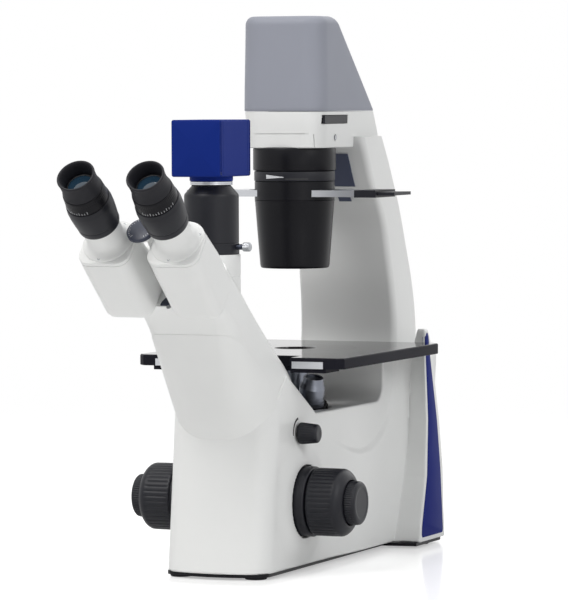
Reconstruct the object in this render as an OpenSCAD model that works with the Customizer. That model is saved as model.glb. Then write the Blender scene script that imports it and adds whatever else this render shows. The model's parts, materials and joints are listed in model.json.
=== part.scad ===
// Inverted laboratory microscope with a binocular head, a photo tube and a camera.
// Millimetres, +Z up, the front (eyepiece side) towards -Y.
// Modules are drawn round the optical axis (X = 0, Y = 0) and shifted by placed().

/* [Stage] */
// Stage plate width
stage_w = 200; // [180:1:230]
// Stage plate depth
stage_d = 250; // [230:1:270]
// Stage top above the bench
stage_top = 194; // [188:0.5:200]
// Stage plate thickness
stage_t = 10; // [6:0.5:12]
// Stage centre in front of the optical axis
stage_fwd = 8; // [0:1:16]
// Round insert radius
insert_r = 56; // [45:1:70]
// Insert thickness
insert_t = 3; // [2:0.5:4]
// Viewing hole radius in the insert
insert_hole_r = 18; // [12:0.5:25]
// Opening radius under the insert
stage_hole_r = 50; // [40:1:54]
// Front block width under the stage
block_w = 168; // [150:1:180]
// Front block height
block_h = 3.5; // [2:0.1:5]

/* [Stand] */
// Shell width
base_w = 102; // [94:1:112]
// Wing width at the back
wing_w = 168; // [150:1:180]
// Nose in front of the optical axis
nose_y = 200; // [190:1:215]
// Nose bow over the front
nose_bow = 11; // [4:1:16]
// Back of the stand behind the optical axis
back_y = 190; // [180:1:200]
// Window height under the stage
window_h = 43.5; // [38:0.5:48]
// Window front edge
window_front = 72; // [66:1:80]
// Window back edge
window_back = 88; // [80:1:92]
// Shell bottom above the bench
shell_z = 5; // [4:0.5:8]
// Base plate thickness
base_t = 3; // [2:0.5:4]
// Shell wall
wall = 5; // [4:0.5:7]
// Foot radius
foot_r = 10; // [7:0.5:13]
// Side panel thickness
strip_t = 2.4; // [1.5:0.1:4]

/* [Column and lamp] */
// Column width
col_w = 93; // [84:1:100]
// Column depth
col_d = 52; // [44:1:56]
// Arm head underside above the bench
head_z = 379.5; // [370:0.5:390]
// Arm head height
head_h = 33.5; // [28:0.5:38]
// Arm head width
head_w = 82; // [78:1:90]
// Arm head front in front of the axis
head_front = 36; // [34:1:42]
// Arm head back behind the axis
head_back = 97; // [90:1:104]
// Lamp cap height
cap_h = 87.5; // [75:0.5:95]
// Filter slider thickness
filter_t = 5; // [3:0.5:6]

/* [Condenser] */
// Mount radius
mount_r = 38; // [34:0.5:41]
// Mount height
mount_h = 21; // [16:0.5:26]
// Aperture ring height
ring_h = 10; // [7:0.5:13]
// Slider ring height
slider_h = 17; // [14:0.5:20]
// Condenser cone top radius
cone_r = 37; // [33:0.5:40]
// Condenser cone lower radius
cone_r2 = 32; // [26:0.5:34]
// Condenser cone height
cone_h = 63; // [50:0.5:70]
// Phase slider length
phase_l = 205; // [180:1:220]
// Phase slider width
phase_w = 50; // [40:1:54]
// Phase slider thickness
phase_t = 6; // [4:0.5:8]
// Phase annulus spacing
phase_pitch = 30; // [28:0.5:34]

/* [Nosepiece] */
// Parfocal length of the objectives
parfocal = 45; // [45:0.5:60]
// Objective circle radius
nose_r = 25; // [22:0.5:27]
// Nosepiece tilt
nose_tilt = 12; // [8:0.5:15]
// Turret radius
turret_r = 38; // [36:0.5:42]
// Turret thickness
turret_t = 10; // [8:0.5:12]
// Objective places
places = 4; // [4:1:4]
// Objective body radius
obj_r = 12.5; // [11:0.5:13.5]

/* [Focus drive] */
// Focus axis in front of the optical axis
focus_y = 110.6; // [100:0.5:120]
// Focus axis above the bench
focus_z = 63.4; // [56:0.5:72]
// Torque ring radius
torque_r = 31.6; // [28:0.1:34]
// Torque ring length
torque_l = 14; // [10:0.5:16]
// Coarse knob radius
coarse_r = 30.5; // [26:0.5:33]
// Coarse knob length
coarse_l = 26.5; // [20:0.5:30]
// Fine knob radius
fine_r = 19.7; // [15:0.1:23]
// Fine knob length
fine_l = 16.4; // [12:0.2:20]
// Coarse shaft radius
shaft_r = 6; // [5:0.25:8]
// Fine shaft radius
fine_shaft_r = 2.5; // [2:0.25:3.5]
// Pinion radius
pinion_r = 8; // [7:0.5:11]
// Intensity knob radius
dimmer_r = 9.6; // [8:0.1:12]
// Intensity knob length
dimmer_l = 16; // [12:0.5:20]
// Intensity knob above the bench
dimmer_z = 125; // [118:0.5:130]

/* [Head and eyepieces] */
// Viewing angle above the horizontal
view_deg = 42; // [38:0.5:46]
// Eye point in front of the optical axis
eye_y = 402.7; // [390:0.5:415]
// Eye point above the bench
eye_z = 361.5; // [350:0.5:375]
// Distance between the eyepieces as shown
ipd = 64; // [60:0.5:68]
// Hinge axis above the eyepiece axes
hinge_v = 20; // [18:0.5:24]
// Arm width
arm_w = 84; // [76:1:90]
// Width of the arm where it sinks into the stand
arm_foot_w = 97; // [92:1:98]
// Prism housing width
prism_w = 47.4; // [44:0.2:50]
// Prism housing end from the eye point
prism_s = 165; // [155:1:170]
// Flange start from the eye point
flange_s = 85; // [80:1:95]
// Flange thickness
flange_t = 6; // [4:0.5:8]
// Flange radius
flange_r = 22.6; // [21:0.2:23.2]
// Eyepiece tube radius
tube_r = 16.5; // [15.8:0.1:17]
// Eyepiece barrel radius
barrel_r = 20.2; // [18:0.1:21.5]
// Eyecup radius
cup_r = 16.8; // [15:0.1:18]
// Eyecup length
cup_l = 17; // [12:0.5:20]
// Eye lens radius
eye_lens_r = 12; // [9:0.5:13]
// Scale disc radius
dial_r = 12.5; // [10:0.1:12.5]

/* [Photo tube and camera] */
// Photo tube in front of the optical axis
photo_y = 192; // [185:0.5:198]
// Photo tube radius
photo_r = 25.5; // [22:0.5:28]
// Photo tube top above the bench
photo_top = 288; // [280:0.5:296]
// Adapter radius
adapter_r = 24.2; // [21:0.1:25]
// Adapter length
adapter_l = 61; // [50:0.5:70]
// Camera width
cam_w = 46.5; // [40:0.5:56]
// Camera depth
cam_d = 69.5; // [60:0.5:76]
// Camera height
cam_h = 50; // [40:0.5:60]

/* [Hidden] */
$fn = 48;
gap = 0.3;        // seam between fixed shells
run = 0.08;       // running fit, radial
play = 0.5;       // air beside moving pieces
stage_under = stage_top - stage_t;
sill_z = stage_under - window_h;
cap_z = head_z + head_h;
top_z = cap_z + cap_h;
ring_z = head_z - mount_h;
slider_z = ring_z - ring_h;
cone_z = slider_z - slider_h;
lens_z = cone_z - cone_h;
tower_top = stage_under - block_h;
notch_half = arm_foot_w / 2 + 1.2;
turret_z = stage_top + 0.7 - parfocal;
half = base_w / 2;
knob_x = half + gap;
tip_y = eye_y + (cup_r - 0.7) * sin(view_deg);
axis_y = (tip_y - back_y) / 2;

// ---------- helpers ----------
module placed() { translate([0, axis_y, 0]) children(); }

// Side profile (Y, Z) made w wide about X = 0.
module side(w) { rotate([90, 0, 90]) linear_extrude(w, center = true) children(); }

// Front profile (X, Z) from y0 back to y1.
module front(y0, y1) { translate([0, y1, 0]) rotate([90, 0, 0]) linear_extrude(y1 - y0) children(); }

// Rod along X between x0 and x1.
module rod(x0, x1, r1, r2) {
    translate([x0, 0, 0]) rotate([0, 90, 0]) cylinder(h = x1 - x0, r1 = r1, r2 = r2);
}
module both() { children(); mirror([1, 0, 0]) children(); }

// Outline with front corners of radius rf and back corners of radius rb.
function corner(x, y, r, a) = [for (i = [0 : 8]) [x + r * cos(a + i * 90 / 8), y + r * sin(a + i * 90 / 8)]];
function outline(w, d, rf, rb) = concat(
    corner(w / 2 - rb, d / 2 - rb, rb, 0), corner(rb - w / 2, d / 2 - rb, rb, 90),
    corner(rf - w / 2, rf - d / 2, rf, 180), corner(w / 2 - rf, rf - d / 2, rf, 270));

// Rounded rectangle with exact arcs.
module rrect(w, d, r) {
    square([w - 2 * r, d], center = true);
    square([w, d - 2 * r], center = true);
    for (x = [-1, 1], y = [-1, 1]) translate([x * (w / 2 - r), y * (d / 2 - r)]) circle(r);
}

// Head frame: origin at the middle of the eye points, Z outwards to the user, Y square to it.
module head_frame() { translate([0, -eye_y, eye_z]) rotate([90 - view_deg, 0, 0]) children(); }
function hd(s, v) = [-eye_y + s * cos(view_deg) + v * sin(view_deg),
    eye_z - s * sin(view_deg) + v * cos(view_deg)];
module ocular(side, s) { head_frame() translate([side * ipd / 2, 0, -s]) children(); }

// ---------- outlines shared by neighbours ----------
// Stations: [front point, back point in side view, width, front corner, back corner].
// The arm goes from its foot to the head end, the column from the shoulder to the lamp head.
arm_foot_y = nose_y - 30;
arm_line = [
    [[-arm_foot_y, sill_z - 40], [-112, sill_z + 28], arm_foot_w, 42, 14],
    [[-arm_foot_y - 33, sill_z + 12], [-152.6, 207], arm_foot_w - 4, 36, 14],
    [[-arm_foot_y - 76, 220], [-198.6, 244.3], arm_w, 20, 14],
    [hd(prism_s + 1.2, -6), hd(prism_s + 1.2, 46), arm_w, 14, 14]
];
col_line = [
    [[back_y - 2 - col_d, 206.3], [back_y - 2, 206.3], col_w, 12, 6],
    [[back_y - 11 - col_d, 252], [back_y - 11, 250], col_w, 12, 5],
    [[111, 305], [158, 312], col_w, 12, 4],
    [[82, 342], [135, 341], col_w, 12, 3],
    [[54, head_z + 9.7], [103, head_z + 9.7], col_w, 12, 3]
];

// One thin cross section from front point f to back point b.
module station(p, grow = 0) {
    d = p[1] - p[0];
    translate([0, (p[0][0] + p[1][0]) / 2, (p[0][1] + p[1][1]) / 2]) rotate([atan2(d[1], d[0]), 0, 0])
        linear_extrude(0.4, center = true)
            polygon(outline(p[2] + 2 * grow, norm(d) + 2 * grow, p[3] + grow, p[4] + grow));
}
module loft(line, grow = 0) {
    for (i = [0 : len(line) - 2]) hull() {
        station(line[i], grow);
        station(line[i + 1], grow);
    }
}
module arm_core(grow = 0) { loft(arm_line, grow); }

// Light way from the lower mirror up through the arm.
module light_way(r, l0, l1) {
    translate([0, -123, 92]) rotate([39.3, 0, 0]) translate([0, 0, l0]) cylinder(h = l1 - l0, r = r);
}

// Plan of the shell: bowed nose, rounded front corners.
module shell_plan(w, r) {
    bow_r = ((w / 2) * (w / 2) + nose_bow * nose_bow) / (2 * nose_bow);
    offset(r = r) offset(delta = -r) intersection() {
        translate([-w / 2, 0]) square([w, nose_y + 110]);
        union() {
            translate([0, bow_r]) circle(bow_r, $fn = 180);
            translate([-w / 2, bow_r]) square([w, nose_y + 110 - bow_r]);
        }
    }
}
wing_plan = [[-wing_w / 2, 96], [-wing_w / 2, back_y - 25], [-wing_w / 2 + 8, back_y - 10],
    [-col_w / 2 - 10, back_y - 1], [-col_w / 2 + 10, back_y], [col_w / 2 - 10, back_y],
    [col_w / 2 + 10, back_y - 1], [wing_w / 2 - 8, back_y - 10], [wing_w / 2, back_y - 25],
    [wing_w / 2, 96], [half - 6, 91], [-half + 6, 91]];
// Front edge of the wing in side view, bottom to top.
wing_front = [[97, shell_z], [99, 20], [112, 66], [116, 121], [112, 181], [112, 206]];
wing_back = [[171, shell_z], [164, 73], [155, 119], [137, 180], [131, 206]];
shoulder_z = 206;
strip_line = [[120, 200], [120, 181], [126, 121], [123, 66], [109, 20], [108, 9], [165, 9],
    [158, 73], [149, 119], [131, 180], [126, 200]];

// ---------- stand ----------
module tower() {
    side_line = [[-nose_y - 10, shell_z], [-nose_y - 10, 128], [-nose_y + 20, 142], [-174, 151],
        [-157.5, 162], [-141.5, tower_top], [-138, tower_top], [-window_front, sill_z],
        [window_back - 18, sill_z], [window_back - 8, sill_z + 4], [window_back - 2, sill_z + 12],
        [window_back, sill_z + 24], [window_back, stage_under], [145, stage_under], [145, shell_z]];
    intersection() {
        side(wing_w) polygon(side_line);
        translate([0, -nose_y, shell_z]) rotate([-6.9, 0, 0]) translate([0, 0, -40])
            linear_extrude(260) shell_plan(base_w, 14);
    }
}
module wings() {
    difference() {
        translate([0, 0, shell_z]) linear_extrude(shoulder_z - shell_z) polygon(wing_plan);
        // Room for the stage.
        translate([-wing_w, 90, stage_under]) cube([2 * wing_w, stage_d / 2 - stage_fwd + 2 - 90, 60]);
        both() {
            // Front edge of the wing.
            intersection() {
                side(wing_w + 2) polygon(concat([[60, shell_z - 1], [97, shell_z - 1]], wing_front,
                    [[112, 220], [60, 220]]));
                translate([half - 1, 0, 0]) cube([60, 200, 240]);
            }
            // Hollow facet between wall and wing.
            translate([0, 100, shell_z]) rotate([-13.5, 0, 0]) translate([0, 0, -20])
                linear_extrude(260) polygon([[half - 1, -60], [half - 1, -3.4], [60, 0], [wing_w / 2 + 1, -27],
                    [wing_w / 2 + 1, -60]]);
            // Back edge of the wing.
            translate([0, 172, shell_z]) rotate([10.8, 0, 0]) translate([0, 0, -20])
                linear_extrude(260) polygon([[wing_w / 2 + 1, -1], [wing_w / 2 + 1, 70],
                    [col_w / 2, 70], [col_w / 2, 46]]);
            // Seat of the side panel.
            translate([wing_w / 2 - strip_t, 0, 0]) rotate([90, 0, 90]) linear_extrude(5)
                offset(delta = 0.2) polygon(strip_line);
        }
    }
}
module stand_housing() {
    color("whitesmoke") placed() difference() {
        union() {
            tower();
            wings();
        }
        // Seat of the arm foot.
        hull() for (i = [0:1]) station(arm_line[i], gap);
        // Hollow inside, open downwards over the base plate.
        translate([-half + wall, -nose_y + 30, shell_z - 1])
            cube([base_w - 2 * wall, nose_y - 30 + 72, sill_z - wall - shell_z + 1]);
        translate([-half + wall, 60, shell_z - 1]) cube([base_w - 2 * wall, back_y - 66, 100]);
        // Opening for the nosepiece.
        translate([0, -nose_r * cos(nose_tilt), sill_z - wall - 2]) cylinder(h = 60, r = turret_r + 4);
        light_way(17, 20, 60);
        // Shaft bores.
        translate([0, -focus_y, focus_z]) rod(-half - 1, half + 1, shaft_r + run, shaft_r + run);
        translate([0, -focus_y - 5.1, dimmer_z]) rod(half - wall - 2, half + 1, 3 + run, 3 + run);
        // Inlet and switch openings at the back.
        translate([-28, back_y - 12, 34]) cube([28, 14, 22]);
        translate([8, back_y - 12, 36]) cube([14, 14, 20]);
    }
}
module base_plate() {
    color("dimgray") placed() difference() {
        union() {
            translate([0, 0, shell_z - base_t]) linear_extrude(base_t) union() {
                translate([0, -nose_y + 2]) shell_plan(base_w - 4, 13);
                polygon([[-wing_w / 2 + 2, 99], [-wing_w / 2 + 2, back_y - 26],
                    [-wing_w / 2 + 10, back_y - 12], [wing_w / 2 - 10, back_y - 12],
                    [wing_w / 2 - 2, back_y - 26], [wing_w / 2 - 2, 99], [half - 2, 94],
                    [-half + 2, 94]]);
            }
            // Posts under the two mirrors.
            translate([-11, -8, shell_z]) cube([22, 16, 82 - shell_z]);
            translate([-11, -140, shell_z]) cube([22, 10, 76 - shell_z]);
        }
        for (x = [-1, 1], y = [-nose_y + 34, back_y - 66])
            translate([x * (half - 18), y, shell_z - base_t - 1]) cylinder(h = base_t + 2, r = 2.2);
    }
}
module rubber_feet() {
    color("black") placed() for (x = [-1, 1]) {
        translate([x * (half - 15), -nose_y + 20, 0]) foot();
        translate([x * (wing_w / 2 - 16), back_y - 48, 0]) foot();
    }
}
module foot() {
    cylinder(h = 0.8, r1 = foot_r - 0.8, r2 = foot_r);
    translate([0, 0, 0.8]) cylinder(h = shell_z - base_t - 0.8, r = foot_r);
}
module side_panels() {
    color("midnightblue") placed() both() translate([wing_w / 2 - strip_t, 0, 0])
        rotate([90, 0, 90]) linear_extrude(strip_t - 0.4) polygon(strip_line);
}
module power_inlet() {
    color("black") placed() difference() {
        translate([-28 + gap, back_y - 11.6, 34 + gap]) cube([28 - 2 * gap, 11.4, 22 - 2 * gap]);
        translate([-25, back_y - 10, 37]) cube([22, 12, 16]);
    }
    color("silver") placed() for (x = [-18, -14, -10])
        translate([x - 1, back_y - 11, 44 + (x == -14 ? 2 : -2)]) cube([2, 8, 2]);
}
module power_switch() {
    color("black") placed() translate([15, back_y - 4, 46]) rotate([0, 90, 0])
        intersection() {
            translate([0, 0, -6.7]) linear_extrude(13.4) polygon([[-8, -3], [8, -3], [8, 1], [0, 2.4], [-8, 3.4]]);
            translate([0, 0, -6.7]) cylinder(h = 13.4, r = 8.6);
        }
}
module column_housing() {
    color("whitesmoke") placed() loft(col_line);
}
module column_plate() {
    // Two dark plates let into the column front, under the arm head.
    color("slategray") placed() difference() {
        intersection() {
            union() {
                translate([8, 0, 342]) cube([20, 130, 31]);
                translate([8, 0, 327.7]) cube([12, 130, 4.7]);
            }
            loft([for (p = col_line) [p[0] - [1.2, 0.8], p[0] + [14, 0], col_w - 4, 4, 4]]);
        }
        loft(col_line, 0.02);
    }
}

// ---------- arm head and lamp ----------
module arm_head() {
    color("whitesmoke") placed() difference() {
        intersection() {
            side(head_w) polygon([[-head_front, head_z], [50, head_z], [52.5, head_z + 10],
                [head_back + 15, head_z + 10], [head_back, cap_z], [-head_front, cap_z]]);
            translate([0, 7.5, head_z]) linear_extrude(head_h) translate([0, (head_back - head_front) / 2])
                polygon(outline(head_w, head_back + head_front + 15, 20, 3));
        }
        translate([0, 0, head_z - 1]) cylinder(h = head_h + 2, r = 17);
        // Slot for the filter slider, open on the right.
        translate([-27, -25.5, cap_z - 11.4]) cube([head_w, 57, filter_t + 3.3]);
        // Screw recess in the side and the seam round the front panel.
        translate([head_w / 2 - 2, 4, head_z + 9.5]) rotate([0, 90, 0]) cylinder(h = 4, r = 3.2);
        translate([-head_w, -head_front - 1, head_z + 13]) cube([2 * head_w, 1.5, 0.6]);
    }
}
module filter_slider() {
    z0 = cap_z - 11.4 + 0.4;
    color("black") placed() difference() {
        union() {
            translate([-26, -24, z0]) cube([26 + head_w / 2 - 1, 54, filter_t]);
            translate([head_w / 2 - 3, -24.5, z0]) cube([2.6, 55, filter_t + 2.4]);
        }
        translate([0, 0, z0 - 1]) cylinder(h = filter_t + 2, r = 15);
    }
}
module cap_slab(inset, z, y1) {
    translate([0, (y1 - head_front) / 2, z]) linear_extrude(0.02)
        polygon(outline(head_w - 2 * inset, y1 + head_front - 2 * inset, 20 - inset / 2, 3));
}
module cap_solid(t) {
    // Upright front, back sloping 45 degrees, soft top edge.
    top_back = head_back - cap_h + 2;
    hull() {
        cap_slab(t, cap_z, head_back);
        cap_slab(t, cap_z + 0.5, head_back);
        cap_slab(t + 0.6, top_z - 7 - t, top_back + 7);
        cap_slab(t + 2.2, top_z - 2 - t, top_back + 3);
        cap_slab(t + 6, top_z - 0.02 - t, top_back);
    }
}
module lamp_cap() {
    color("darkgray") placed() difference() {
        cap_solid(0);
        translate([0, 0, -0.5]) cap_solid(3);
    }
}
module led_module() {
    color("silver") placed() {
        difference() {
            translate([0, 0, cap_z]) cylinder(h = 34, r = 24);
            translate([0, 0, cap_z - 1]) cylinder(h = 26, r = 19);
        }
        for (i = [0:5]) translate([-20, -20 + i * 7.4, cap_z + 34]) cube([40, 2.4, 12]);
        translate([0, 0, cap_z + 21]) cylinder(h = 4, r = 5);
    }
}
module collector_lens() {
    color("lightblue") placed() translate([0, 0, cap_z + 4]) intersection() {
        cylinder(h = 9, r = 18.9);
        translate([0, 0, -22]) sphere(31, $fn = 64);
    }
}

// ---------- condenser ----------
module condenser_mount() {
    color("black") placed() difference() {
        union() {
            translate([0, 0, ring_z]) cylinder(h = mount_h, r = mount_r + 0.4);
            translate([0, 0, head_z]) cylinder(h = 12, r = 16.8);
        }
        translate([0, 0, ring_z - 1]) cylinder(h = mount_h + 14, r = 13.5);
    }
}
module aperture_ring() {
    color("black") placed() difference() {
        translate([0, 0, slider_z + gap]) union() {
            cylinder(h = ring_h - 2 * gap, r = cone_r + 0.4);
            for (a = [0:10:350]) rotate([0, 0, a]) translate([cone_r + 0.2, -1.2, 1.5])
                cube([0.8, 2.4, ring_h - 2 * gap - 3]);
        }
        translate([0, 0, slider_z]) cylinder(h = ring_h, r = 24 + run);
    }
}
module condenser_body() {
    color("black") placed() difference() {
        union() {
            translate([0, 0, cone_z]) cylinder(h = slider_h, r = cone_r);
            translate([0, 0, slider_z]) cylinder(h = ring_h, r = 24);
        }
        translate([0, 0, cone_z - 1]) cylinder(h = slider_h + ring_h + 2, r = 13.5);
        translate([-60, -phase_w / 2 - 0.2, cone_z + 2.9]) cube([120, phase_w + 0.4, phase_t + 0.6]);
    }
}
module condenser_cone() {
    color("black") placed() difference() {
        rotate_extrude($fn = 96) polygon([[20, cone_z], [cone_r, cone_z], [cone_r2, lens_z + 1.5],
            [cone_r2 - 1.5, lens_z], [26, lens_z], [26, lens_z + 4], [28, lens_z + 4], [28, cone_z - 6],
            [20, cone_z - 6]]);
    }
}
module condenser_lens() {
    color("lightblue") placed() intersection() {
        translate([0, 0, lens_z + 4]) cylinder(h = 12, r = 27.9);
        translate([0, 0, lens_z + 4 - 36]) sphere(48, $fn = 72);
    }
}
module phase_slider() {
    z0 = cone_z + 3.2;
    color("silver") placed() difference() {
        translate([-60, -phase_w / 2, z0]) cube([129, phase_w, phase_t]);
        for (i = [-1:1]) translate([i * phase_pitch, 0, z0 - 1]) {
            cylinder(h = phase_t + 2, r = 12.5);
            translate([0, 0, phase_t - 1]) cylinder(h = 3, r = 14.5);
        }
    }
}
module slider_grips() {
    z0 = cone_z + 3.2;
    color("black") placed() {
        translate([69, -phase_w / 2, z0 - 0.4]) cube([21, phase_w, phase_t + 0.8]);
        translate([90, -phase_w / 2 + 4, z0 + 1.6]) cube([17, phase_w - 8, phase_t - 3]);
        translate([-98, -phase_w / 2, z0 + 0.4]) cube([38, phase_w, phase_t - 0.8]);
    }
}

// ---------- stage ----------
module stage_plan(inset) {
    c = 6;
    w = stage_w / 2 - inset;
    y0 = -stage_d / 2 - stage_fwd + inset;
    y1 = stage_d / 2 - stage_fwd - inset;
    difference() {
        polygon([[-w + c, y0], [w - c, y0], [w, y0 + c], [w, y1 - c], [w - c, y1], [-w + c, y1],
            [-w, y1 - c], [-w, y0 + c]]);
        // Notch for the arm.
        translate([-notch_half, y0 - 1]) square([2 * notch_half, 26]);
    }
}
module stage_plate() {
    color("black") placed() difference() {
        translate([0, 0, stage_under]) {
            linear_extrude(stage_t - 0.8) stage_plan(0);
            translate([0, 0, stage_t - 0.8]) linear_extrude(0.8) stage_plan(0.8);
        }
        translate([0, 0, stage_top - insert_t]) cylinder(h = 10, r = insert_r + 0.1, $fn = 96);
        translate([0, 0, stage_under - 1]) cylinder(h = 30, r = stage_hole_r);
    }
}
module stage_insert() {
    color("dimgray") placed() difference() {
        translate([0, 0, stage_top - insert_t]) cylinder(h = insert_t, r = insert_r, $fn = 96);
        translate([0, 0, stage_top - insert_t - 1]) cylinder(h = insert_t - 0.5, r = insert_hole_r);
        translate([0, 0, stage_top - 1.5]) cylinder(h = 2, r1 = insert_hole_r, r2 = insert_hole_r + 2);
    }
}
module stage_front_block() {
    color("black") placed() difference() {
        translate([-block_w / 2, -stage_d / 2 - stage_fwd + 1, tower_top])
            cube([block_w, 32, block_h]);
        translate([-notch_half, -stage_d / 2 - stage_fwd, tower_top - 1])
            cube([2 * notch_half, 25, block_h + 2]);
    }
}
module stage_plates() {
    color("silver") placed() both()
        translate([51.8, -stage_d / 2 - stage_fwd - 0.6, stage_under + 0.2]) cube([30, 0.6, 6.3]);
}

// ---------- nosepiece and objectives ----------
module nose_frame() {
    translate([0, -nose_r * cos(nose_tilt), turret_z - nose_r * sin(nose_tilt)])
        rotate([nose_tilt, 0, 0]) children();
}
module at_place(i) {
    nose_frame() rotate([0, 0, -i * 360 / places]) translate([0, nose_r, 0])
        rotate([-nose_tilt, 0, 0]) children();
}
module nosepiece_turret() {
    color("black") placed() difference() {
        union() {
            nose_frame() translate([0, 0, -turret_t]) {
                cylinder(h = turret_t - 3, r = turret_r);
                cylinder(h = turret_t, r = turret_r - 14);
            }
            // Knurled rim.
            nose_frame() for (a = [0:12:348]) rotate([0, 0, a])
                translate([turret_r - 0.3, -1.6, -turret_t + 1]) cube([1.1, 3.2, turret_t - 5]);
            for (i = [0 : places - 1]) at_place(i) translate([0, 0, -7]) cylinder(h = 7, r = obj_r + 0.5);
        }
        for (i = [0 : places - 1]) at_place(i) {
            cylinder(h = 20, r = obj_r + 0.6);
            translate([0, 0, -30]) cylinder(h = 40, r = 10.1);
        }
        nose_frame() translate([0, 0, -turret_t - 1]) cylinder(h = turret_t - 0.5, r = 8 + run);
    }
}
// Objective: knurled collar, barrel, nose; l is the length above the seat.
module objective(i, l, r2, band) {
    at_place(i) {
        difference() {
            union() {
                translate([0, 0, -4.5]) cylinder(h = 4.6, r = 10);
                cylinder(h = 4, r = obj_r);
                translate([0, 0, 4]) cylinder(h = l - 14, r = obj_r - 0.7);
                translate([0, 0, l - 10]) cylinder(h = 5, r1 = obj_r - 0.7, r2 = r2 + 1);
                translate([0, 0, l - 5]) cylinder(h = 5, r1 = r2 + 1, r2 = r2);
            }
            translate([0, 0, -5]) cylinder(h = l - 1, r = min(8, r2 - 0.8));
            translate([0, 0, l - 1.4]) cylinder(h = 2, r = r2 - 2);
            translate([0, 0, band]) difference() {
                cylinder(h = 1.6, r = obj_r + 1);
                cylinder(h = 1.6, r = obj_r - 1);
            }
        }
    }
}
module objective_4() { color("silver") placed() objective(1, 26, 9, 8); }
module objective_10() { color("silver") placed() objective(0, 34, 7, 14); }
module objective_20() { color("silver") placed() objective(2, 36, 6, 14); }
module objective_40() { color("silver") placed() objective(3, 38, 5, 14); }
module nosepiece_carrier() {
    color("gray") placed() difference() {
        union() {
            nose_frame() {
                translate([0, 0, -turret_t - gap - 7]) cylinder(h = 7, r = turret_r - 2);
                translate([0, 0, -turret_t - gap]) cylinder(h = turret_t - 1.6, r = 8);
            }
            // Arm forward to the rack.
            translate([12, -focus_y + pinion_r + 1, sill_z - 26]) cube([12, focus_y - pinion_r - 22, 9]);
            translate([12, -focus_y + pinion_r + 2.2, focus_z - 22]) cube([12, 9, sill_z - 20 - focus_z + 22]);
            // Rack teeth.
            for (i = [-6:8]) translate([12, -focus_y + pinion_r + 0.4, focus_z + (i + 0.5) * pinion_r * PI / 9 - 0.8])
                cube([12, 2, 1.3]);
        }
        translate([0, 0, turret_z - 60]) cylinder(h = 100, r = 9.5);
    }
}

// ---------- focus drive ----------
module focus_at() { translate([0, -focus_y, focus_z]) children(); }
torque_x = half + gap;
coarse_x = torque_x + torque_l + 0.8;
fine_x = coarse_x + coarse_l + 0.5;
// Ribbed knob along X from x0, l long.
module ribbed(x0, l, r, n, bore) {
    difference() {
        union() {
            rod(x0, x0 + 1.5, r - 1.5, r - 0.4);
            rod(x0 + 1.5, x0 + l - 2.5, r - 0.4, r - 0.4);
            rod(x0 + l - 2.5, x0 + l, r - 0.4, r - 3);
            for (i = [0 : n - 1]) translate([x0 + 2, 0, 0]) rotate([i * 360 / n, 0, 0])
                translate([0, -0.9, r - 1.4]) cube([l - 5, 1.8, 1.4]);
        }
        rod(x0 - 1, x0 + l + 1, bore, bore);
        rod(x0 + l - 1.6, x0 + l + 1, r * 0.62, r * 0.62);
    }
}
module focus_shaft() {
    color("silver") placed() focus_at() difference() {
        union() {
            rod(-coarse_x - coarse_l + 2, coarse_x + coarse_l - 2, shaft_r, shaft_r);
            // Pinion under the rack.
            translate([11, 0, 0]) rotate([90, 0, 90]) linear_extrude(14) polygon([for (i = [0:17],
                q = [[-7, pinion_r - 1.4], [-3.2, pinion_r - 0.2], [3.2, pinion_r - 0.2], [7, pinion_r - 1.4]])
                q[1] * [cos(i * 20 + q[0]), sin(i * 20 + q[0])]]);
        }
        rod(-150, 150, fine_shaft_r + run, fine_shaft_r + run);
    }
}
module coarse_knobs() {
    color("black") placed() focus_at() {
        ribbed(coarse_x, coarse_l, coarse_r, 40, shaft_r + 0.02);
        mirror([1, 0, 0]) ribbed(half + 1, coarse_x + coarse_l - half - 1, coarse_r, 40, shaft_r + 0.02);
    }
}
module fine_knobs() {
    color("black") placed() focus_at() {
        both() difference() {
            ribbed(fine_x, fine_l, fine_r, 30, 0.01);
            rod(fine_x + fine_l - 1.2, fine_x + fine_l + 1, fine_r * 0.5, fine_r * 0.5);
        }
        rod(-fine_x - 4, fine_x + 4, fine_shaft_r, fine_shaft_r);
    }
}
module torque_ring() {
    color("black") placed() focus_at() difference() {
        union() {
            rod(torque_x, torque_x + torque_l - 1.5, torque_r - 0.6, torque_r - 0.6);
            rod(torque_x + torque_l - 1.5, torque_x + torque_l, torque_r - 0.6, torque_r - 2);
            for (i = [0:35]) rotate([i * 10, 0, 0]) translate([torque_x + 2, -1, torque_r - 1.8])
                cube([torque_l - 4, 2, 1.8]);
        }
        rod(torque_x - 1, torque_x + torque_l + 1, shaft_r + run, shaft_r + run);
    }
}
module intensity_knob() {
    color("black") placed() translate([0, -focus_y - 5.1, dimmer_z]) {
        rod(half - wall, knob_x + 2, 3, 3);
        rod(knob_x, knob_x + dimmer_l - 2, dimmer_r, dimmer_r - 1);
        rod(knob_x + dimmer_l - 2, knob_x + dimmer_l, dimmer_r - 1, dimmer_r - 2.4);
        for (i = [0:15]) rotate([i * 22.5, 0, 0]) translate([knob_x + 2, -0.6, dimmer_r - 1.6])
            cube([dimmer_l - 5, 1.2, 1.3]);
    }
}

// ---------- light path ----------
module deflection_mirror() {
    color("lightgray") placed() {
        // Mirror under the objective, reflecting forwards.
        translate([0, 0, 82]) rotate([90, 0, 90]) linear_extrude(22, center = true)
            polygon([[-8, 0], [8, 0], [8, 24], [-8, 8]]);
        // Mirror below the arm, reflecting up the arm.
        translate([0, -135, 76]) rotate([90, 0, 90]) linear_extrude(22, center = true)
            polygon([[-5, 0], [5, 0], [16, 28], [10, 31]]);
    }
}
module tube_lens() {
    color("lightblue") placed() intersection() {
        light_way(14.4, 58, 66);
        translate([0, -123, 92]) rotate([39.3, 0, 0]) translate([0, 0, 22]) sphere(44, $fn = 64);
    }
}

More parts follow.
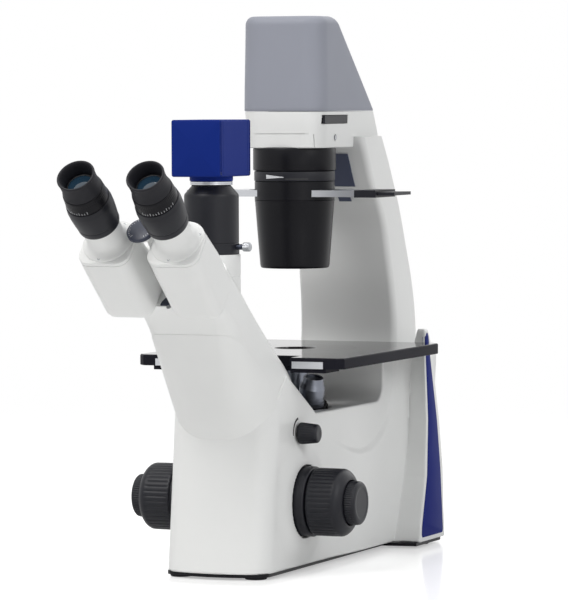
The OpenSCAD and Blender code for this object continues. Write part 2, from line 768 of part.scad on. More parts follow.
// ---------- arm ----------
cover_top = 219.5;
module cover_zone(shift) {
    // Shield in side view: straight top, back edge falling to the collar of the tower.
    side(wing_w) offset(delta = -shift) polygon([[-340, cover_top], [-240, cover_top], [-228, cover_top - 6],
        [-205, 198.6], [-187, 185], [-175, 171], [-170, 160], [-166, 140], [-166, 96], [-340, 96]]);
}
// The part of it above the tower, lifted clear of the collar by the given amount.
module cover_room(shift) {
    difference() {
        cover_zone(shift);
        translate([0, -shift, shift]) tower();
    }
}
module tube_arm() {
    color("whitesmoke") placed() difference() {
        arm_core();
        // Pocket for the cover.
        difference() {
            intersection() {
                cover_room(0);
                arm_core(1);
            }
            arm_core(-2.4 - gap);
        }
        light_way(14.5, 30, 240);
        // Keep the foot inside the tower hollow clear.
        translate([-half + wall, -nose_y + 30, 0])
            cube([base_w - 2 * wall, nose_y, sill_z - wall - 6]);
        translate([-60, -nose_y - 20, 40]) cube([120, 45.5, sill_z - 68]);
    }
}
module arm_front_cover() {
    color("white") placed() difference() {
        intersection() {
            cover_room(gap);
            arm_core(0.4);
        }
        arm_core(-2.4);
    }
}

// ---------- binocular head ----------
module binocular_body() {
    color("whitesmoke") placed() head_frame() {
        // End flange on the arm, hub and hinge barrel.
        translate([0, hinge_v, -prism_s - 0.98]) linear_extrude(0.6, $fn = 40) rrect(arm_w - 4, 48, 12);
        translate([0, hinge_v, -prism_s - 0.7]) cylinder(h = prism_s + 0.7 - 84, r = 7.9);
        translate([0, hinge_v - 8, -84]) intersection() {
            translate([-8, -16, 0]) cube([16, 32, 2]);
            translate([0, 0, -1]) cylinder(h = 5, r = 15);
        }
    }
}
module scale_disc() {
    color("slategray") placed() head_frame() translate([0, 5, -81.7]) {
        cylinder(h = 5, r = dial_r);
        translate([0, 0, 5]) cylinder(h = 1.2, r1 = dial_r, r2 = dial_r - 1.2);
    }
}
module head_end_plate() {
    color("slategray") placed() head_frame() translate([0, -7.4, -prism_s - 0.95])
        linear_extrude(0.7) polygon([[-9, 3], [9, 3], [7, -2.5], [-7, -2.5]]);
}
// side -1 is left. The lugs of the two housings lie one behind the other on the barrel.
module prism_housing(side) {
    lug_s = side < 0 ? 134 : 120;
    other_s = side < 0 ? 120 : 134;
    head_frame() difference() {
        union() {
            translate([side * ipd / 2, 0, 0]) {
                translate([0, 0, -prism_s + 5]) linear_extrude(prism_s - 5 - flange_s - flange_t)
                    rrect(prism_w, prism_w + 1, 15);
                translate([0, 0, -prism_s + 0.4]) linear_extrude(4.6) rrect(prism_w - 5, prism_w - 4, 13);
            }
            translate([0, hinge_v, -lug_s - 13]) cylinder(h = 13, r = 15.5);
        }
        // Barrel, the other lug and the light way.
        translate([0, hinge_v, -prism_s - 1]) cylinder(h = prism_s, r = 7.9 + run);
        translate([0, hinge_v, -other_s - 13.4]) cylinder(h = 13.8, r = 16);
        translate([side * ipd / 2, 0, -flange_s - flange_t - 40]) cylinder(h = 60, r = 12);
        // Blind hole for the set screw.
        translate([side * (ipd / 2 + prism_w / 2 - 3), -6, -140]) rotate([0, 90, 0]) cylinder(h = 8, r = 1.2);
    }
}
module prism_housing_left() { color("whitesmoke") placed() prism_housing(-1); }
module prism_housing_right() { color("whitesmoke") placed() prism_housing(1); }
module eyepiece_tube(side) {
    ocular(side, 0) difference() {
        union() {
            translate([0, 0, -flange_s - flange_t]) cylinder(h = flange_t - 0.8, r = flange_r);
            translate([0, 0, -flange_s - 0.8]) cylinder(h = 0.8, r1 = flange_r, r2 = flange_r - 0.8);
            translate([0, 0, -flange_s]) cylinder(h = flange_s - 63.4, r = tube_r);
        }
        translate([0, 0, -flange_s - flange_t - 1]) cylinder(h = 60, r = 14.9 + run);
    }
}
module eyepiece_tube_left() { color("whitesmoke") placed() eyepiece_tube(-1); }
module eyepiece_tube_right() { color("whitesmoke") placed() eyepiece_tube(1); }
module eyepiece(side) {
    ocular(side, 0) difference() {
        rotate_extrude($fn = 72) polygon([[13, -cup_l - 6], [15.6, -cup_l - 6], [15.6, -31.5],
            [barrel_r - 0.6, -31.5], [barrel_r, -37], [barrel_r - 0.2, -44], [barrel_r - 1.6, -57],
            [barrel_r - 1.6, -61], [barrel_r - 2.6, -63], [14.9, -63], [14.9, -82], [13, -82]]);
    }
}
module eyepiece_left() { color("black") placed() eyepiece(-1); }
module eyepiece_right() { color("black") placed() eyepiece(1); }
module diopter_ring(side) {
    ocular(side, 0) difference() {
        union() {
            translate([0, 0, -31.2]) cylinder(h = 12.8, r1 = barrel_r - 1.4, r2 = barrel_r - 2.4);
            for (a = [0:12:348]) rotate([0, 0, a]) translate([barrel_r - 3, -0.9, -30]) cube([1.8, 1.8, 10]);
        }
        translate([0, 0, -32]) cylinder(h = 15, r = 15.6 + run);
    }
}
module diopter_ring_left() { color("black") placed() diopter_ring(-1); }
module diopter_ring_right() { color("black") placed() diopter_ring(1); }
module eyecup(side) {
    ocular(side, 0) rotate_extrude($fn = 64) polygon([[13, -cup_l - 1], [cup_r + 0.6, -cup_l - 1],
        [cup_r - 0.6, -12], [cup_r - 0.4, -3], [cup_r, -1], [cup_r - 0.7, 0], [cup_r - 2, -0.4],
        [cup_r - 3, -4], [13, -10.8]]);
}
module eyecup_left() { color("black") placed() eyecup(-1); }
module eyecup_right() { color("black") placed() eyecup(1); }
module eye_lens(side) {
    ocular(side, 0) intersection() {
        translate([0, 0, -15]) cylinder(h = 8, r = min(eye_lens_r, 12.9));
        translate([0, 0, -9 - 34]) sphere(34, $fn = 64);
    }
    // Thin mounting ring round the lens.
    ocular(side, 0) translate([0, 0, -17]) difference() {
        cylinder(h = 4, r = 12.95);
        translate([0, 0, -1]) cylinder(h = 6, r = eye_lens_r - 1);
    }
}
module eye_lens_left() { color("lightblue") placed() eye_lens(-1); }
module eye_lens_right() { color("lightblue") placed() eye_lens(1); }

// ---------- photo tube and camera ----------
module photo_at() { translate([0, -photo_y, 0]) children(); }
adapter_top = photo_top + adapter_l;
module photo_tube() {
    color("whitesmoke") placed() difference() {
        photo_at() translate([0, 0, 212]) cylinder(h = photo_top - 212, r = photo_r);
        arm_core();
        photo_at() translate([0, 0, 200]) cylinder(h = photo_top - 188, r = 19);
    }
}
module camera_adapter() {
    color("black") placed() photo_at() difference() {
        rotate_extrude($fn = 72) polygon([[15, photo_top - 8], [18.9, photo_top - 8], [18.9, photo_top],
            [adapter_r + 0.3, photo_top], [adapter_r + 0.3, photo_top + 9.5], [adapter_r, photo_top + 10.5],
            [adapter_r, adapter_top - 8.5], [adapter_r - 0.8, adapter_top - 7.5], [17, adapter_top],
            [12, adapter_top], [12, photo_top + 20], [15, photo_top + 20]]);
        translate([10, 0, photo_top + 6.6]) rod(0, 30, 1.7, 1.7);
    }
}
module adapter_screw() {
    color("silver") placed() photo_at() translate([0, 0, photo_top + 6.6]) {
        rod(adapter_r - 8, adapter_r + 2, 1.6, 1.6);
        rod(adapter_r + 0.8, adapter_r + 8.4, 3.8, 3.8);
        rod(adapter_r + 8.4, adapter_r + 9.2, 3.8, 3);
    }
}
module camera_mount() {
    color("silver") placed() photo_at() difference() {
        union() {
            translate([0, 0, adapter_top]) cylinder(h = 3.4, r = 18.8);
            translate([0, 0, adapter_top - 5]) cylinder(h = 6, r = 11.95);
        }
        translate([0, 0, adapter_top - 6]) cylinder(h = 20, r = 9);
    }
}
module camera_body() {
    color("midnightblue") placed() photo_at() {
        difference() {
            translate([0, 0, adapter_top + 3.4]) cylinder(h = 4.2, r = 19.2);
            translate([0, 0, adapter_top + 3]) cylinder(h = 4, r = 9);
        }
        translate([0, 0, adapter_top + 7.6]) {
            linear_extrude(cam_h - 1.2) rrect(cam_w, cam_d, 2);
            translate([0, 0, cam_h - 1.2]) linear_extrude(1.2) rrect(cam_w - 2, cam_d - 2, 1.5);
        }
    }
}

// ---------- small fasteners ----------
module screws() {
    color("silver") placed() {
        // Base plate screws.
        for (x = [-1, 1], y = [-nose_y + 34, back_y - 66]) translate([x * (half - 18), y, shell_z - base_t + 0.2])
            cylinder(h = base_t + 5, r = 2);
        // Screw in the end plate.
        head_frame() translate([0, -7, -prism_s - 0.24]) cylinder(h = 0.3, r = 2.2);
        // Screw in the arm head recess.
        translate([head_w / 2 - 2, 4, head_z + 9.5]) rotate([0, 90, 0]) cylinder(h = 0.9, r = 2.4);
    }
}

stand_housing();
base_plate();
rubber_feet();
side_panels();
power_inlet();
power_switch();
column_housing();
column_plate();
arm_head();
filter_slider();
lamp_cap();
led_module();
collector_lens();
condenser_mount();
aperture_ring();
condenser_body();
condenser_cone();
condenser_lens();
phase_slider();
slider_grips();
stage_plate();
stage_insert();
stage_front_block();
stage_plates();
nosepiece_carrier();
nosepiece_turret();
objective_4();
objective_10();
objective_20();
objective_40();
focus_shaft();
coarse_knobs();
fine_knobs();
torque_ring();
intensity_knob();
deflection_mirror();
tube_lens();
tube_arm();
arm_front_cover();
binocular_body();
scale_disc();
head_end_plate();
prism_housing_left();
prism_housing_right();
eyepiece_tube_left();
eyepiece_tube_right();
eyepiece_left();
eyepiece_right();
diopter_ring_left();
diopter_ring_right();
eyecup_left();
eyecup_right();
eye_lens_left();
eye_lens_right();
photo_tube();
camera_adapter();
adapter_screw();
camera_mount();
camera_body();
screws();
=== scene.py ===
import json
import math

import bmesh
import bpy
import numpy as np
from mathutils import Matrix, Vector


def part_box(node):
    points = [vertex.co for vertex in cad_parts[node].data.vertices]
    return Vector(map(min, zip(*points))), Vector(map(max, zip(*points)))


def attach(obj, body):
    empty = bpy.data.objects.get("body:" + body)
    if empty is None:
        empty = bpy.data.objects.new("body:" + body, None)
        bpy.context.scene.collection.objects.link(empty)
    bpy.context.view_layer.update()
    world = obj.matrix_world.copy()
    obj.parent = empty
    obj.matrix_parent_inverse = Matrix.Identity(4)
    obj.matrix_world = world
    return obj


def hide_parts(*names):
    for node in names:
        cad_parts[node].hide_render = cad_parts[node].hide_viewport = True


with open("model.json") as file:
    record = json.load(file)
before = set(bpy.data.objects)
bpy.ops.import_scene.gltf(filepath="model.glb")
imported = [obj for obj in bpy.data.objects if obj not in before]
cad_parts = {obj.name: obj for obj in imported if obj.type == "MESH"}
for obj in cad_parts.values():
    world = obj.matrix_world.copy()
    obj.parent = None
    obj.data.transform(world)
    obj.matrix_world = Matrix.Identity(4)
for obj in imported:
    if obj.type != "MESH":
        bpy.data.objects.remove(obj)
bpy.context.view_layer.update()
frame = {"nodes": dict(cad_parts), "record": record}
nodes = frame["nodes"]
scene = bpy.context.scene
white = (1.0, 1.0, 1.0, 1.0)


# Links an object with the given data to the scene.
def addObject(name, data):
    obj = bpy.data.objects.new(name, data)
    scene.collection.objects.link(obj)
    return obj


def meshOf(name, points, faces):
    mesh = bpy.data.meshes.new(name)
    mesh.from_pydata(points.tolist(), [], [tuple(int(k) for k in f) for f in faces])
    return mesh


# Headings and angles are in degrees, the place in metres, the lens in millimetres.
viewOf = {
    "place": (1.4383, -3.3617, 0.423),
    "heading": 22.65,
    "pitch": -2.81,
    "roll": -0.23,
    "lens": 243.6,
}


def makeCamera():
    h, p, r = (math.radians(viewOf[k]) for k in ("heading", "pitch", "roll"))
    look = Vector((-math.sin(h) * math.cos(p), math.cos(h) * math.cos(p), math.sin(p)))
    right = Vector((math.cos(h), math.sin(h), 0.0))
    up = right.cross(look)
    right, up = right * math.cos(r) + up * math.sin(r), up * math.cos(r) - right * math.sin(r)
    data = bpy.data.cameras.new("viewCamera")
    data.lens = viewOf["lens"]
    data.sensor_width = 36.0
    data.clip_start, data.clip_end = 0.1, 40.0
    cam = addObject("viewCamera", data)
    rows = [[right[i], up[i], -look[i], viewOf["place"][i]] for i in range(3)]
    cam.matrix_world = Matrix(rows + [[0, 0, 0, 1]])
    scene.camera = cam


# Each lamp: place, size, power and colour.
lightRig = {
    "keyLight": ((-0.9, -2.3, 3.1), 1.8, 78.0, (1.0, 0.99, 0.975)),
    "fillLight": ((2.9, -0.9, 2.0), 2.2, 29.0, (0.99, 0.995, 1.0)),
    "lowLight": ((1.9, -1.7, 0.25), 0.9, 2.2, (1.0, 0.985, 0.96)),
    "topLight": ((0.1, 0.4, 3.2), 2.4, 18.0, (1.0, 1.0, 1.0)),
    "rearLight": ((0.6, 2.8, 1.6), 2.0, 10.0, (1.0, 1.0, 1.0)),
}
lampTarget = (0.0, 0.0, 0.22)


def makeLights():
    for name, (place, size, power, colour) in lightRig.items():
        data = bpy.data.lights.new(name, "AREA")
        data.shape, data.size, data.energy, data.color = "DISK", size, power, colour
        lamp = addObject(name, data)
        lamp.location = place
        lamp.rotation_mode = "QUATERNION"
        lamp.rotation_quaternion = (Vector(lampTarget) - Vector(place)).to_track_quat("-Z", "Y")
        lamp.visible_camera = False


# Sets a socket to a number or a colour, or links it from another socket.
def feed(socket, value):
    if isinstance(value, bpy.types.NodeSocket):
        socket.id_data.links.new(value, socket)
    else:
        socket.default_value = value


def feedAll(node, sockets):
    for key, value in sockets.items():
        feed(node.inputs[key], value)


# A shader node with its settings, and with its sockets fed by name or number.
def newNode(tree, kind, sockets=None, **settings):
    n = tree.nodes.new("ShaderNode" + kind)
    for key, value in settings.items():
        setattr(n, key, value)
    feedAll(n, sockets or {})
    return n


def mathNode(tree, op, a, b):
    return newNode(tree, "Math", {0: a, 1: b}, operation=op).outputs[0]


def newMaterial(name):
    mat = bpy.data.materials.new(name)
    mat.use_nodes = True
    return mat, mat.node_tree, mat.node_tree.nodes["Principled BSDF"]


roomOf = {
    "ambient": 0.3,
    "seen": 1.0,
    "floor": (0.93, 0.93, 0.93, 1.0),
    "roughness": 0.14,
    "specular": 0.28,
    "lift": 0.42,
    "fade": (0.55, 1.9),
    "half": 2.6,
    "lines": 24,
    "below": 0.0002,
}


# Rays that see the room itself find it white; as light on the object it is softer.
def makeWorld():
    world = bpy.data.worlds.new("paleRoom")
    scene.world = world
    world.use_nodes = True
    t = world.node_tree
    t.nodes.clear()
    soft = newNode(t, "Background", {"Color": white, "Strength": roomOf["ambient"]})
    seen = newNode(t, "Background", {"Color": white, "Strength": roomOf["seen"]})
    path = newNode(t, "LightPath").outputs
    direct = mathNode(t, "MAXIMUM", path["Is Camera Ray"], path["Is Glossy Ray"])
    direct = mathNode(t, "MAXIMUM", direct, path["Is Transmission Ray"])
    mix = newNode(t, "MixShader", {0: direct, 1: soft.outputs[0], 2: seen.outputs[0]})
    newNode(t, "OutputWorld", {"Surface": mix.outputs[0]})
    scene.view_settings.view_transform = "Standard"


# A pale floor that keeps the shadow and fades out away from the object.
def makeFloor():
    count = roomOf["lines"]
    line = np.linspace(-roomOf["half"], roomOf["half"], count)
    x, y = np.meshgrid(line, line, indexing="ij")
    points = np.stack([x, y, np.full_like(x, -roomOf["below"])], -1).reshape(-1, 3)
    i = (np.arange(count - 1)[:, None] * count + np.arange(count - 1)).ravel()
    faces = np.stack([i, i + count, i + count + 1, i + 1], -1)
    mesh = meshOf("paleFloor", points, faces)
    floor = addObject("paleFloor", mesh)
    mat, t, base = newMaterial("paleFloor")
    seen = newNode(t, "LightPath").outputs["Is Camera Ray"]
    sockets = {
        "Base Color": roomOf["floor"],
        "Roughness": roomOf["roughness"],
        "Specular IOR Level": roomOf["specular"],
        "Emission Color": white,
        "Emission Strength": mathNode(t, "MULTIPLY", seen, roomOf["lift"]),
    }
    feedAll(base, sockets)
    near, far = roomOf["fade"]
    place = newNode(t, "TexCoord").outputs["Object"]
    away = newNode(t, "VectorMath", {0: place}, operation="LENGTH").outputs["Value"]
    sockets = {"Value": away, "From Min": near, "From Max": far}
    fade = newNode(t, "MapRange", sockets, interpolation_type="SMOOTHSTEP")
    clear = newNode(t, "BsdfTransparent")
    blend = newNode(
        t, "MixShader", {0: fade.outputs["Result"], 1: base.outputs[0], 2: clear.outputs[0]}
    )
    feed(t.nodes["Material Output"].inputs["Surface"], blend.outputs[0])
    mesh.materials.append(mat)


groups = {}


# A node group of floats: its tree, the sockets that it reads and the sockets that it puts out.
def nodeGroup(name, inputs, outputs):
    g = bpy.data.node_groups.new(name, "ShaderNodeTree")
    for key, value in inputs.items():
        s = g.interface.new_socket(key, in_out="INPUT", socket_type="NodeSocketFloat")
        s.default_value = value
    for key in outputs:
        g.interface.new_socket(key, in_out="OUTPUT", socket_type="NodeSocketFloat")
    groups[name] = g
    return g, g.nodes.new("NodeGroupInput").outputs, g.nodes.new("NodeGroupOutput").inputs


def useGroup(tree, name, **values):
    return newNode(tree, "Group", values, node_tree=groups[name]).outputs


# Moulded grain: small rounded cells with a slow swell over them, and a cloudy mask for the sheen.
def grainGroup():
    g, given, out = nodeGroup("mouldedGrain", {"Scale": 1800.0, "Cloud": 14.0}, ("Height", "Mask"))
    at = newNode(g, "TexCoord").outputs["Object"]
    cells = newNode(
        g, "TexVoronoi", {"Vector": at, "Scale": given["Scale"]}, feature="SMOOTH_F1"
    )
    slow = mathNode(g, "MULTIPLY", given["Scale"], 0.35)
    swell = newNode(g, "TexNoise", {"Vector": at, "Scale": slow})
    cloud = newNode(g, "TexNoise", {"Vector": at, "Scale": given["Cloud"], "Detail": 5.0})
    # height = cell distance + 0.6 * swell
    rise = mathNode(g, "MULTIPLY", swell.outputs["Fac"], 0.6)
    feed(out["Height"], mathNode(g, "ADD", cells.outputs["Distance"], rise))
    feed(out["Mask"], cloud.outputs["Fac"])


# Settled dust: mask = how far the face looks up * noise * amount.
def dustGroup():
    g, given, out = nodeGroup("settledDust", {"Amount": 0.2}, ("Mask",))
    at = newNode(g, "TexCoord").outputs["Object"]
    slantReflection = newNode(g, "NewGeometry").outputs["Normal"]
    split = newNode(g, "SeparateXYZ", {0: slantReflection})
    noise = newNode(g, "TexNoise", {"Vector": at, "Scale": 90.0, "Detail": 8.0})
    up = mathNode(g, "MAXIMUM", split.outputs["Z"], 0.0)
    broken = mathNode(g, "MULTIPLY", up, noise.outputs["Fac"])
    feed(out["Mask"], mathNode(g, "MULTIPLY", broken, given["Amount"]))


# Lines of a turned or brushed metal: noise drawn out along the axes with the lower numbers.
def brushedGroup():
    g, given, out = nodeGroup("brushedLines", {"X": 60.0, "Y": 60.0, "Z": 60.0}, ("Height",))
    at = newNode(g, "TexCoord").outputs["Object"]
    pull = newNode(g, "CombineXYZ", {k: given[k] for k in "XYZ"})
    drawn = newNode(g, "VectorMath", {0: at, 1: pull.outputs[0]}, operation="MULTIPLY")
    noise = newNode(g, "TexNoise", {"Vector": drawn.outputs[0], "Scale": 1.0, "Detail": 4.0})
    feed(out["Height"], noise.outputs["Fac"])


# Eight-bit screen colour to the linear colour that the shader takes.
def linear(rgb):
    c = np.array(rgb, float) / 255.0
    return tuple(np.where(c <= 0.04045, c / 12.92, ((c + 0.055) / 1.055) ** 2.4)) + (1.0,)


# colour * times + plus, at most 1
def shade(colour, times, plus=0.0):
    return tuple(np.minimum(np.array(colour[:3]) * times + plus, 1.0)) + (1.0,)


def tintNode(tree, colour, other, fac):
    return newNode(tree, "Mix", {0: fac, 6: colour, 7: other}, data_type="RGBA").outputs[2]


def spreadNode(tree, value, low, high):
    return newNode(tree, "MapRange", {"Value": value, "To Min": low, "To Max": high}).outputs["Result"]


def bumpNode(tree, height, strength, distance):
    sockets = {"Height": height, "Strength": strength, "Distance": distance}
    return newNode(tree, "Bump", sockets).outputs["Normal"]


# Moulded plastic or paint: a cloudy change of colour and sheen, grain in the bump, dust on top.
def plastic(
    name, rgb, rough=0.4, grain=1800.0, bump=0.0, coat=0.0, spec=0.5, dust=0.12, swing=0.06
):
    mat, t, p = newMaterial(name)
    base = linear(rgb)
    g = useGroup(t, "mouldedGrain", Scale=grain)
    d = useGroup(t, "settledDust", Amount=dust)
    cloudy = tintNode(t, base, shade(base, 0.93), g["Mask"])
    sockets = {
        "Base Color": tintNode(t, cloudy, shade(base, 0.7, 0.28), d["Mask"]),
        "Roughness": spreadNode(t, g["Mask"], rough - swing, rough + swing),
        "Specular IOR Level": spec,
        "Coat Weight": coat,
        "Coat Roughness": 0.12,
    }
    if bump:
        sockets["Normal"] = bumpNode(t, g["Height"], bump, 0.0001)
    feedAll(p, sockets)
    return mat


# Turned or brushed metal: drawn-out lines in the bump and in the sheen.
def metal(name, rgb, rough=0.25, lines=(60.0, 60.0, 60.0), bump=0.15, weight=1.0, spec=0.5):
    mat, t, p = newMaterial(name)
    base = linear(rgb)
    height = useGroup(t, "brushedLines", X=lines[0], Y=lines[1], Z=lines[2])["Height"]
    sockets = {
        "Base Color": tintNode(t, base, shade(base, 0.86), height),
        "Metallic": weight,
        "Specular IOR Level": spec,
        "Roughness": spreadNode(t, height, max(rough - 0.07, 0.02), rough + 0.07),
        "Normal": bumpNode(t, height, bump, 0.00005),
    }
    feedAll(p, sockets)
    return mat


# A lens face: dark clear glass with a coloured coating; its teal base colour, painted lighter at a
# slant, is a painted reflection of that coating.
def coatedGlass(name, rgb):
    mat, t, p = newMaterial(name)
    base = linear(rgb)
    slantReflection = newNode(t, "LayerWeight", {"Blend": 0.35}).outputs["Facing"]
    mask = useGroup(t, "mouldedGrain", Scale=220.0, Cloud=40.0)["Mask"]
    sockets = {
        # painted reflection: the base colour grows lighter where the face is seen at a slant
        "Base Color": tintNode(t, base, shade(base, 2.2, 0.02), slantReflection),
        "IOR": 1.52,
        "Coat Weight": 1.0,
        "Coat Roughness": 0.02,
        "Roughness": spreadNode(t, mask, 0.02, 0.07),
    }
    feedAll(p, sockets)
    return mat


# Painted and moulded finishes: colour, roughness, grain, bump, coat, specular level, dust, swing.
plasticTable = {
    "white_shell": ((240, 241, 240), 0.36, 1500.0, 0.1, 0.08, 0.34, 0.12, 0.06),
    "grey_cap": ((158, 161, 172), 0.5, 1300.0, 0.22, 0.0, 0.2, 0.05, 0.06),
    "blue_panel": ((26, 38, 116), 0.5, 1300.0, 0.12, 0.0, 0.06, 0.0, 0.06),
    "camera_blue": ((20, 44, 128), 0.55, 900.0, 0.3, 0.0, 0.08, 0.0, 0.06),
    "black_plastic": ((23, 24, 31), 0.42, 1100.0, 0.35, 0.0, 0.3, 0.02, 0.06),
    "insert_grey": ((40, 38, 40), 0.09, 900.0, 0.03, 0.0, 0.5, 0.0, 0.03),
    "dark_plate": ((84, 90, 112), 0.38, 1300.0, 0.2, 0.0, 0.5, 0.12, 0.06),
    "rubber": ((24, 24, 30), 0.62, 1600.0, 0.5, 0.0, 0.3, 0.12, 0.06),
    "stage_coat": ((24, 24, 29), 0.07, 900.0, 0.03, 0.0, 0.5, 0.0, 0.02),
    "stage_edge": ((28, 28, 35), 0.5, 900.0, 0.15, 0.0, 0.06, 0.0, 0.06),
    "mark_white": ((214, 216, 220), 0.5, 900.0, 0.1, 0.0, 0.5, 0.12, 0.06),
    "mark_black": ((30, 30, 33), 0.5, 900.0, 0.1, 0.0, 0.5, 0.12, 0.06),
    "scale_blue": ((44, 50, 68), 0.4, 1300.0, 0.2, 0.0, 0.5, 0.12, 0.06),
}
# Metals: colour, roughness, lines along each axis, bump, metallic share, specular level.
metalTable = {
    "black_metal": ((17, 17, 22), 0.34, (900.0, 900.0, 900.0), 0.1, 0.1, 0.18),
    "silver": ((206, 208, 212), 0.3, (30.0, 1400.0, 1400.0), 0.2, 1.0, 0.5),
    "steel": ((178, 180, 184), 0.3, (700.0, 700.0, 60.0), 0.2, 1.0, 0.5),
    # chrome is painted darker than bright chrome: painted shade for the objectives that stand in
    # shadow under the stage
    "chrome": ((136, 140, 150), 0.34, (400.0, 400.0, 2600.0), 0.12, 1.0, 0.5),
    "dark_steel": ((70, 74, 86), 0.35, (700.0, 700.0, 60.0), 0.2, 1.0, 0.5),
    "mirror": ((236, 238, 242), 0.05, (40.0, 40.0, 40.0), 0.02, 1.0, 0.5),
}
finishes = {}
# Nodes that carry another coat than their slot's usual one.
ownFinish = {"stage_front_block": "stage_edge"}


def makeFinishes():
    grainGroup()
    dustGroup()
    brushedGroup()
    for table, make in ((plasticTable, plastic), (metalTable, metal)):
        for slot, values in table.items():
            first, *rest = slot.split("_")
            finishes[slot] = make(first + "".join(w.capitalize() for w in rest), *values)
    finishes["glass"] = coatedGlass("coatedGlass", (18, 44, 62))
    slotOf = {n: m["slot"] for m in frame["record"].get("materials", []) for n in m.get("nodes", [])}
    for name, obj in nodes.items():
        mats = obj.data.materials
        usual = finishes[slotOf.get(name, "white_shell")]
        found = [finishes.get(m.name.split(".")[0], usual) if m else usual for m in mats] or [usual]
        if name in ownFinish:
            found = [finishes[ownFinish[name]]]
        for k, mat in enumerate(found):
            if k < len(mats):
                mats[k] = mat
            else:
                mats.append(mat)


makeFinishes()
makeCamera()
makeLights()
makeWorld()
makeFloor()
print("stage: camera, room and finishes are in place")

# Shapes are made in millimetres about the light axis, then put in the frame.

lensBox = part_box("condenser_lens")
axisY = (lensBox[0][1] + lensBox[1][1]) / 2


def toFrame(points):
    p = np.asarray(points, float) / 1000.0
    p[..., 1] += axisY
    return p


# One piece in the frame: points in millimetres, faces, finish, body and the nodes it stands for.
def addPiece(name, points, faces, slot, body, *replaced, sharp=32.0, normals=None):
    mesh = meshOf(name, toFrame(points), faces)
    mesh.materials.append(finishes[slot])
    mesh.polygons.foreach_set("use_smooth", [True] * len(mesh.polygons))
    if normals is not None:
        mesh.normals_split_custom_set_from_vertices(np.asarray(normals).tolist())
    else:
        mesh.set_sharp_from_angle(angle=math.radians(sharp))
    mesh.update()
    obj = addObject(name, mesh)
    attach(obj, body)
    if replaced:
        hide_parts(*replaced)
    return obj


# Puts several (points, faces) together as one.
def joined(parts):
    points, faces, n = [], [], 0
    for p, f in parts:
        p = np.asarray(p, float).reshape(-1, 3)
        points.append(p)
        faces += [tuple(int(k) + n for k in q) for q in f]
        n += len(p)
    return np.concatenate(points), faces


# Quads between closed rows of points; each open end is closed by a fan. ring joins last row to
# first.
def tube(rows, ends=(True, True), ring=False):
    rows = np.asarray(rows, float)
    m, n = rows.shape[:2]
    i, j = np.meshgrid(np.arange(m if ring else m - 1), np.arange(n), indexing="ij")
    a, b = i * n + j, i * n + (j + 1) % n
    c, d = ((i + 1) % m) * n + (j + 1) % n, ((i + 1) % m) * n + j
    faces = np.stack([a, b, c, d], -1).reshape(-1, 4).tolist()
    points = rows.reshape(-1, 3)
    if not ring:
        for row, flag, flip in ((0, ends[0], True), (m - 1, ends[1], False)):
            if not flag:
                continue
            middle = len(points)
            points = np.concatenate([points, rows[row].mean(0)[None]])
            for k in range(n):
                f = (row * n + k, row * n + (k + 1) % n, middle)
                faces.append(f[::-1] if flip else f)
    # Signed volume tells whether the faces look outwards.
    v = 0.0
    for f in faces:
        p = points[list(f)]
        for k in range(1, len(f) - 1):
            v += np.dot(p[0], np.cross(p[k], p[k + 1]))
    if v < 0:
        faces = [tuple(f)[::-1] for f in faces]
    return points, faces


# Rounded rectangle, front corners rf, back corners rb; flat adds points along the straight sides.
def outline(w, d, rf, rb, arc=10, flat=1):
    out = []
    for x, y, r, a in (
        (w / 2 - rb, d / 2 - rb, rb, 0),
        (rb - w / 2, d / 2 - rb, rb, 90),
        (rf - w / 2, rf - d / 2, rf, 180),
        (w / 2 - rf, rf - d / 2, rf, 270),
    ):
        t = np.radians(a + np.linspace(0, 90, arc + 1))
        out.append(np.stack([x + r * np.cos(t), y + r * np.sin(t)], -1))
    full = []
    for k in range(4):
        full.append(out[k])
        p, q = out[k][-1], out[(k + 1) % 4][0]
        s = np.linspace(0, 1, flat + 2)[1:-1, None]
        full.append(p + (q - p) * s)
    return np.concatenate(full)


# Rounds the inner corners of a line of points by quarter turns of about the given radius.
def softLine(points, radius, count=5):
    p = [np.asarray(q, float) for q in points]
    out = [p[0]]
    for k in range(1, len(p) - 1):
        u, v = p[k - 1] - p[k], p[k + 1] - p[k]
        a = min(radius, 0.45 * np.linalg.norm(u), 0.45 * np.linalg.norm(v))
        s, e = p[k] + u / np.linalg.norm(u) * a, p[k] + v / np.linalg.norm(v) * a
        for t in np.linspace(0, 1, count):
            out.append((1 - t) ** 2 * s + 2 * t * (1 - t) * p[k] + t * t * e)
    out.append(p[-1])
    return np.array(out)


# Rows of a turned form: profile is (height, radius); ribs(angle, height) gives a change of
# radius.
def turned(profile, count=96, ribs=None):
    angle = circle(count)
    h, r = profile[:, 0][:, None], profile[:, 1][:, None] + 0 * angle
    if ribs is not None:
        r = r + ribs(angle[None, :], h)
    return np.stack([r * np.cos(angle), r * np.sin(angle), h + 0 * angle], -1)


def loop(*pairs):
    return np.array(pairs, float)


# Soft ribs round a turn: (0.5 + 0.5 cos(count * angle)) ** sharpness.
def bump(angle, count, sharpness=2.0):
    return (0.5 + 0.5 * np.cos(count * angle)) ** sharpness


# 1 between heights a and b, falling to 0 over soft at both.
def within(h, a, b, soft=0.4):
    return ramp(h, a, a + soft) * (1 - ramp(h, b - soft, b))


# A flat outline as a row of points at height z, moved by y.
def level(shape, z, y=0.0):
    return np.column_stack([shape[:, 0], shape[:, 1] + y, np.full(len(shape), z)])


def circle(count):
    return np.linspace(0, 2 * np.pi, count, endpoint=False)


# Rows given in axes x, y, z at an origin.
def along(rows, origin, x, y, z):
    rows = np.asarray(rows, float)
    return (
        np.asarray(origin, float)
        + rows[..., :1] * np.asarray(x, float)
        + rows[..., 1:2] * np.asarray(y, float)
        + rows[..., 2:] * np.asarray(z, float)
    )


# Turned form laid along X from (x, y, z); side -1 mirrors it to the left.
def axisX(rows, x, y, z, side=1):
    return along(rows, (x * side, y, z), (0, 1, 0), (0, 0, 1), (side, 0, 0))


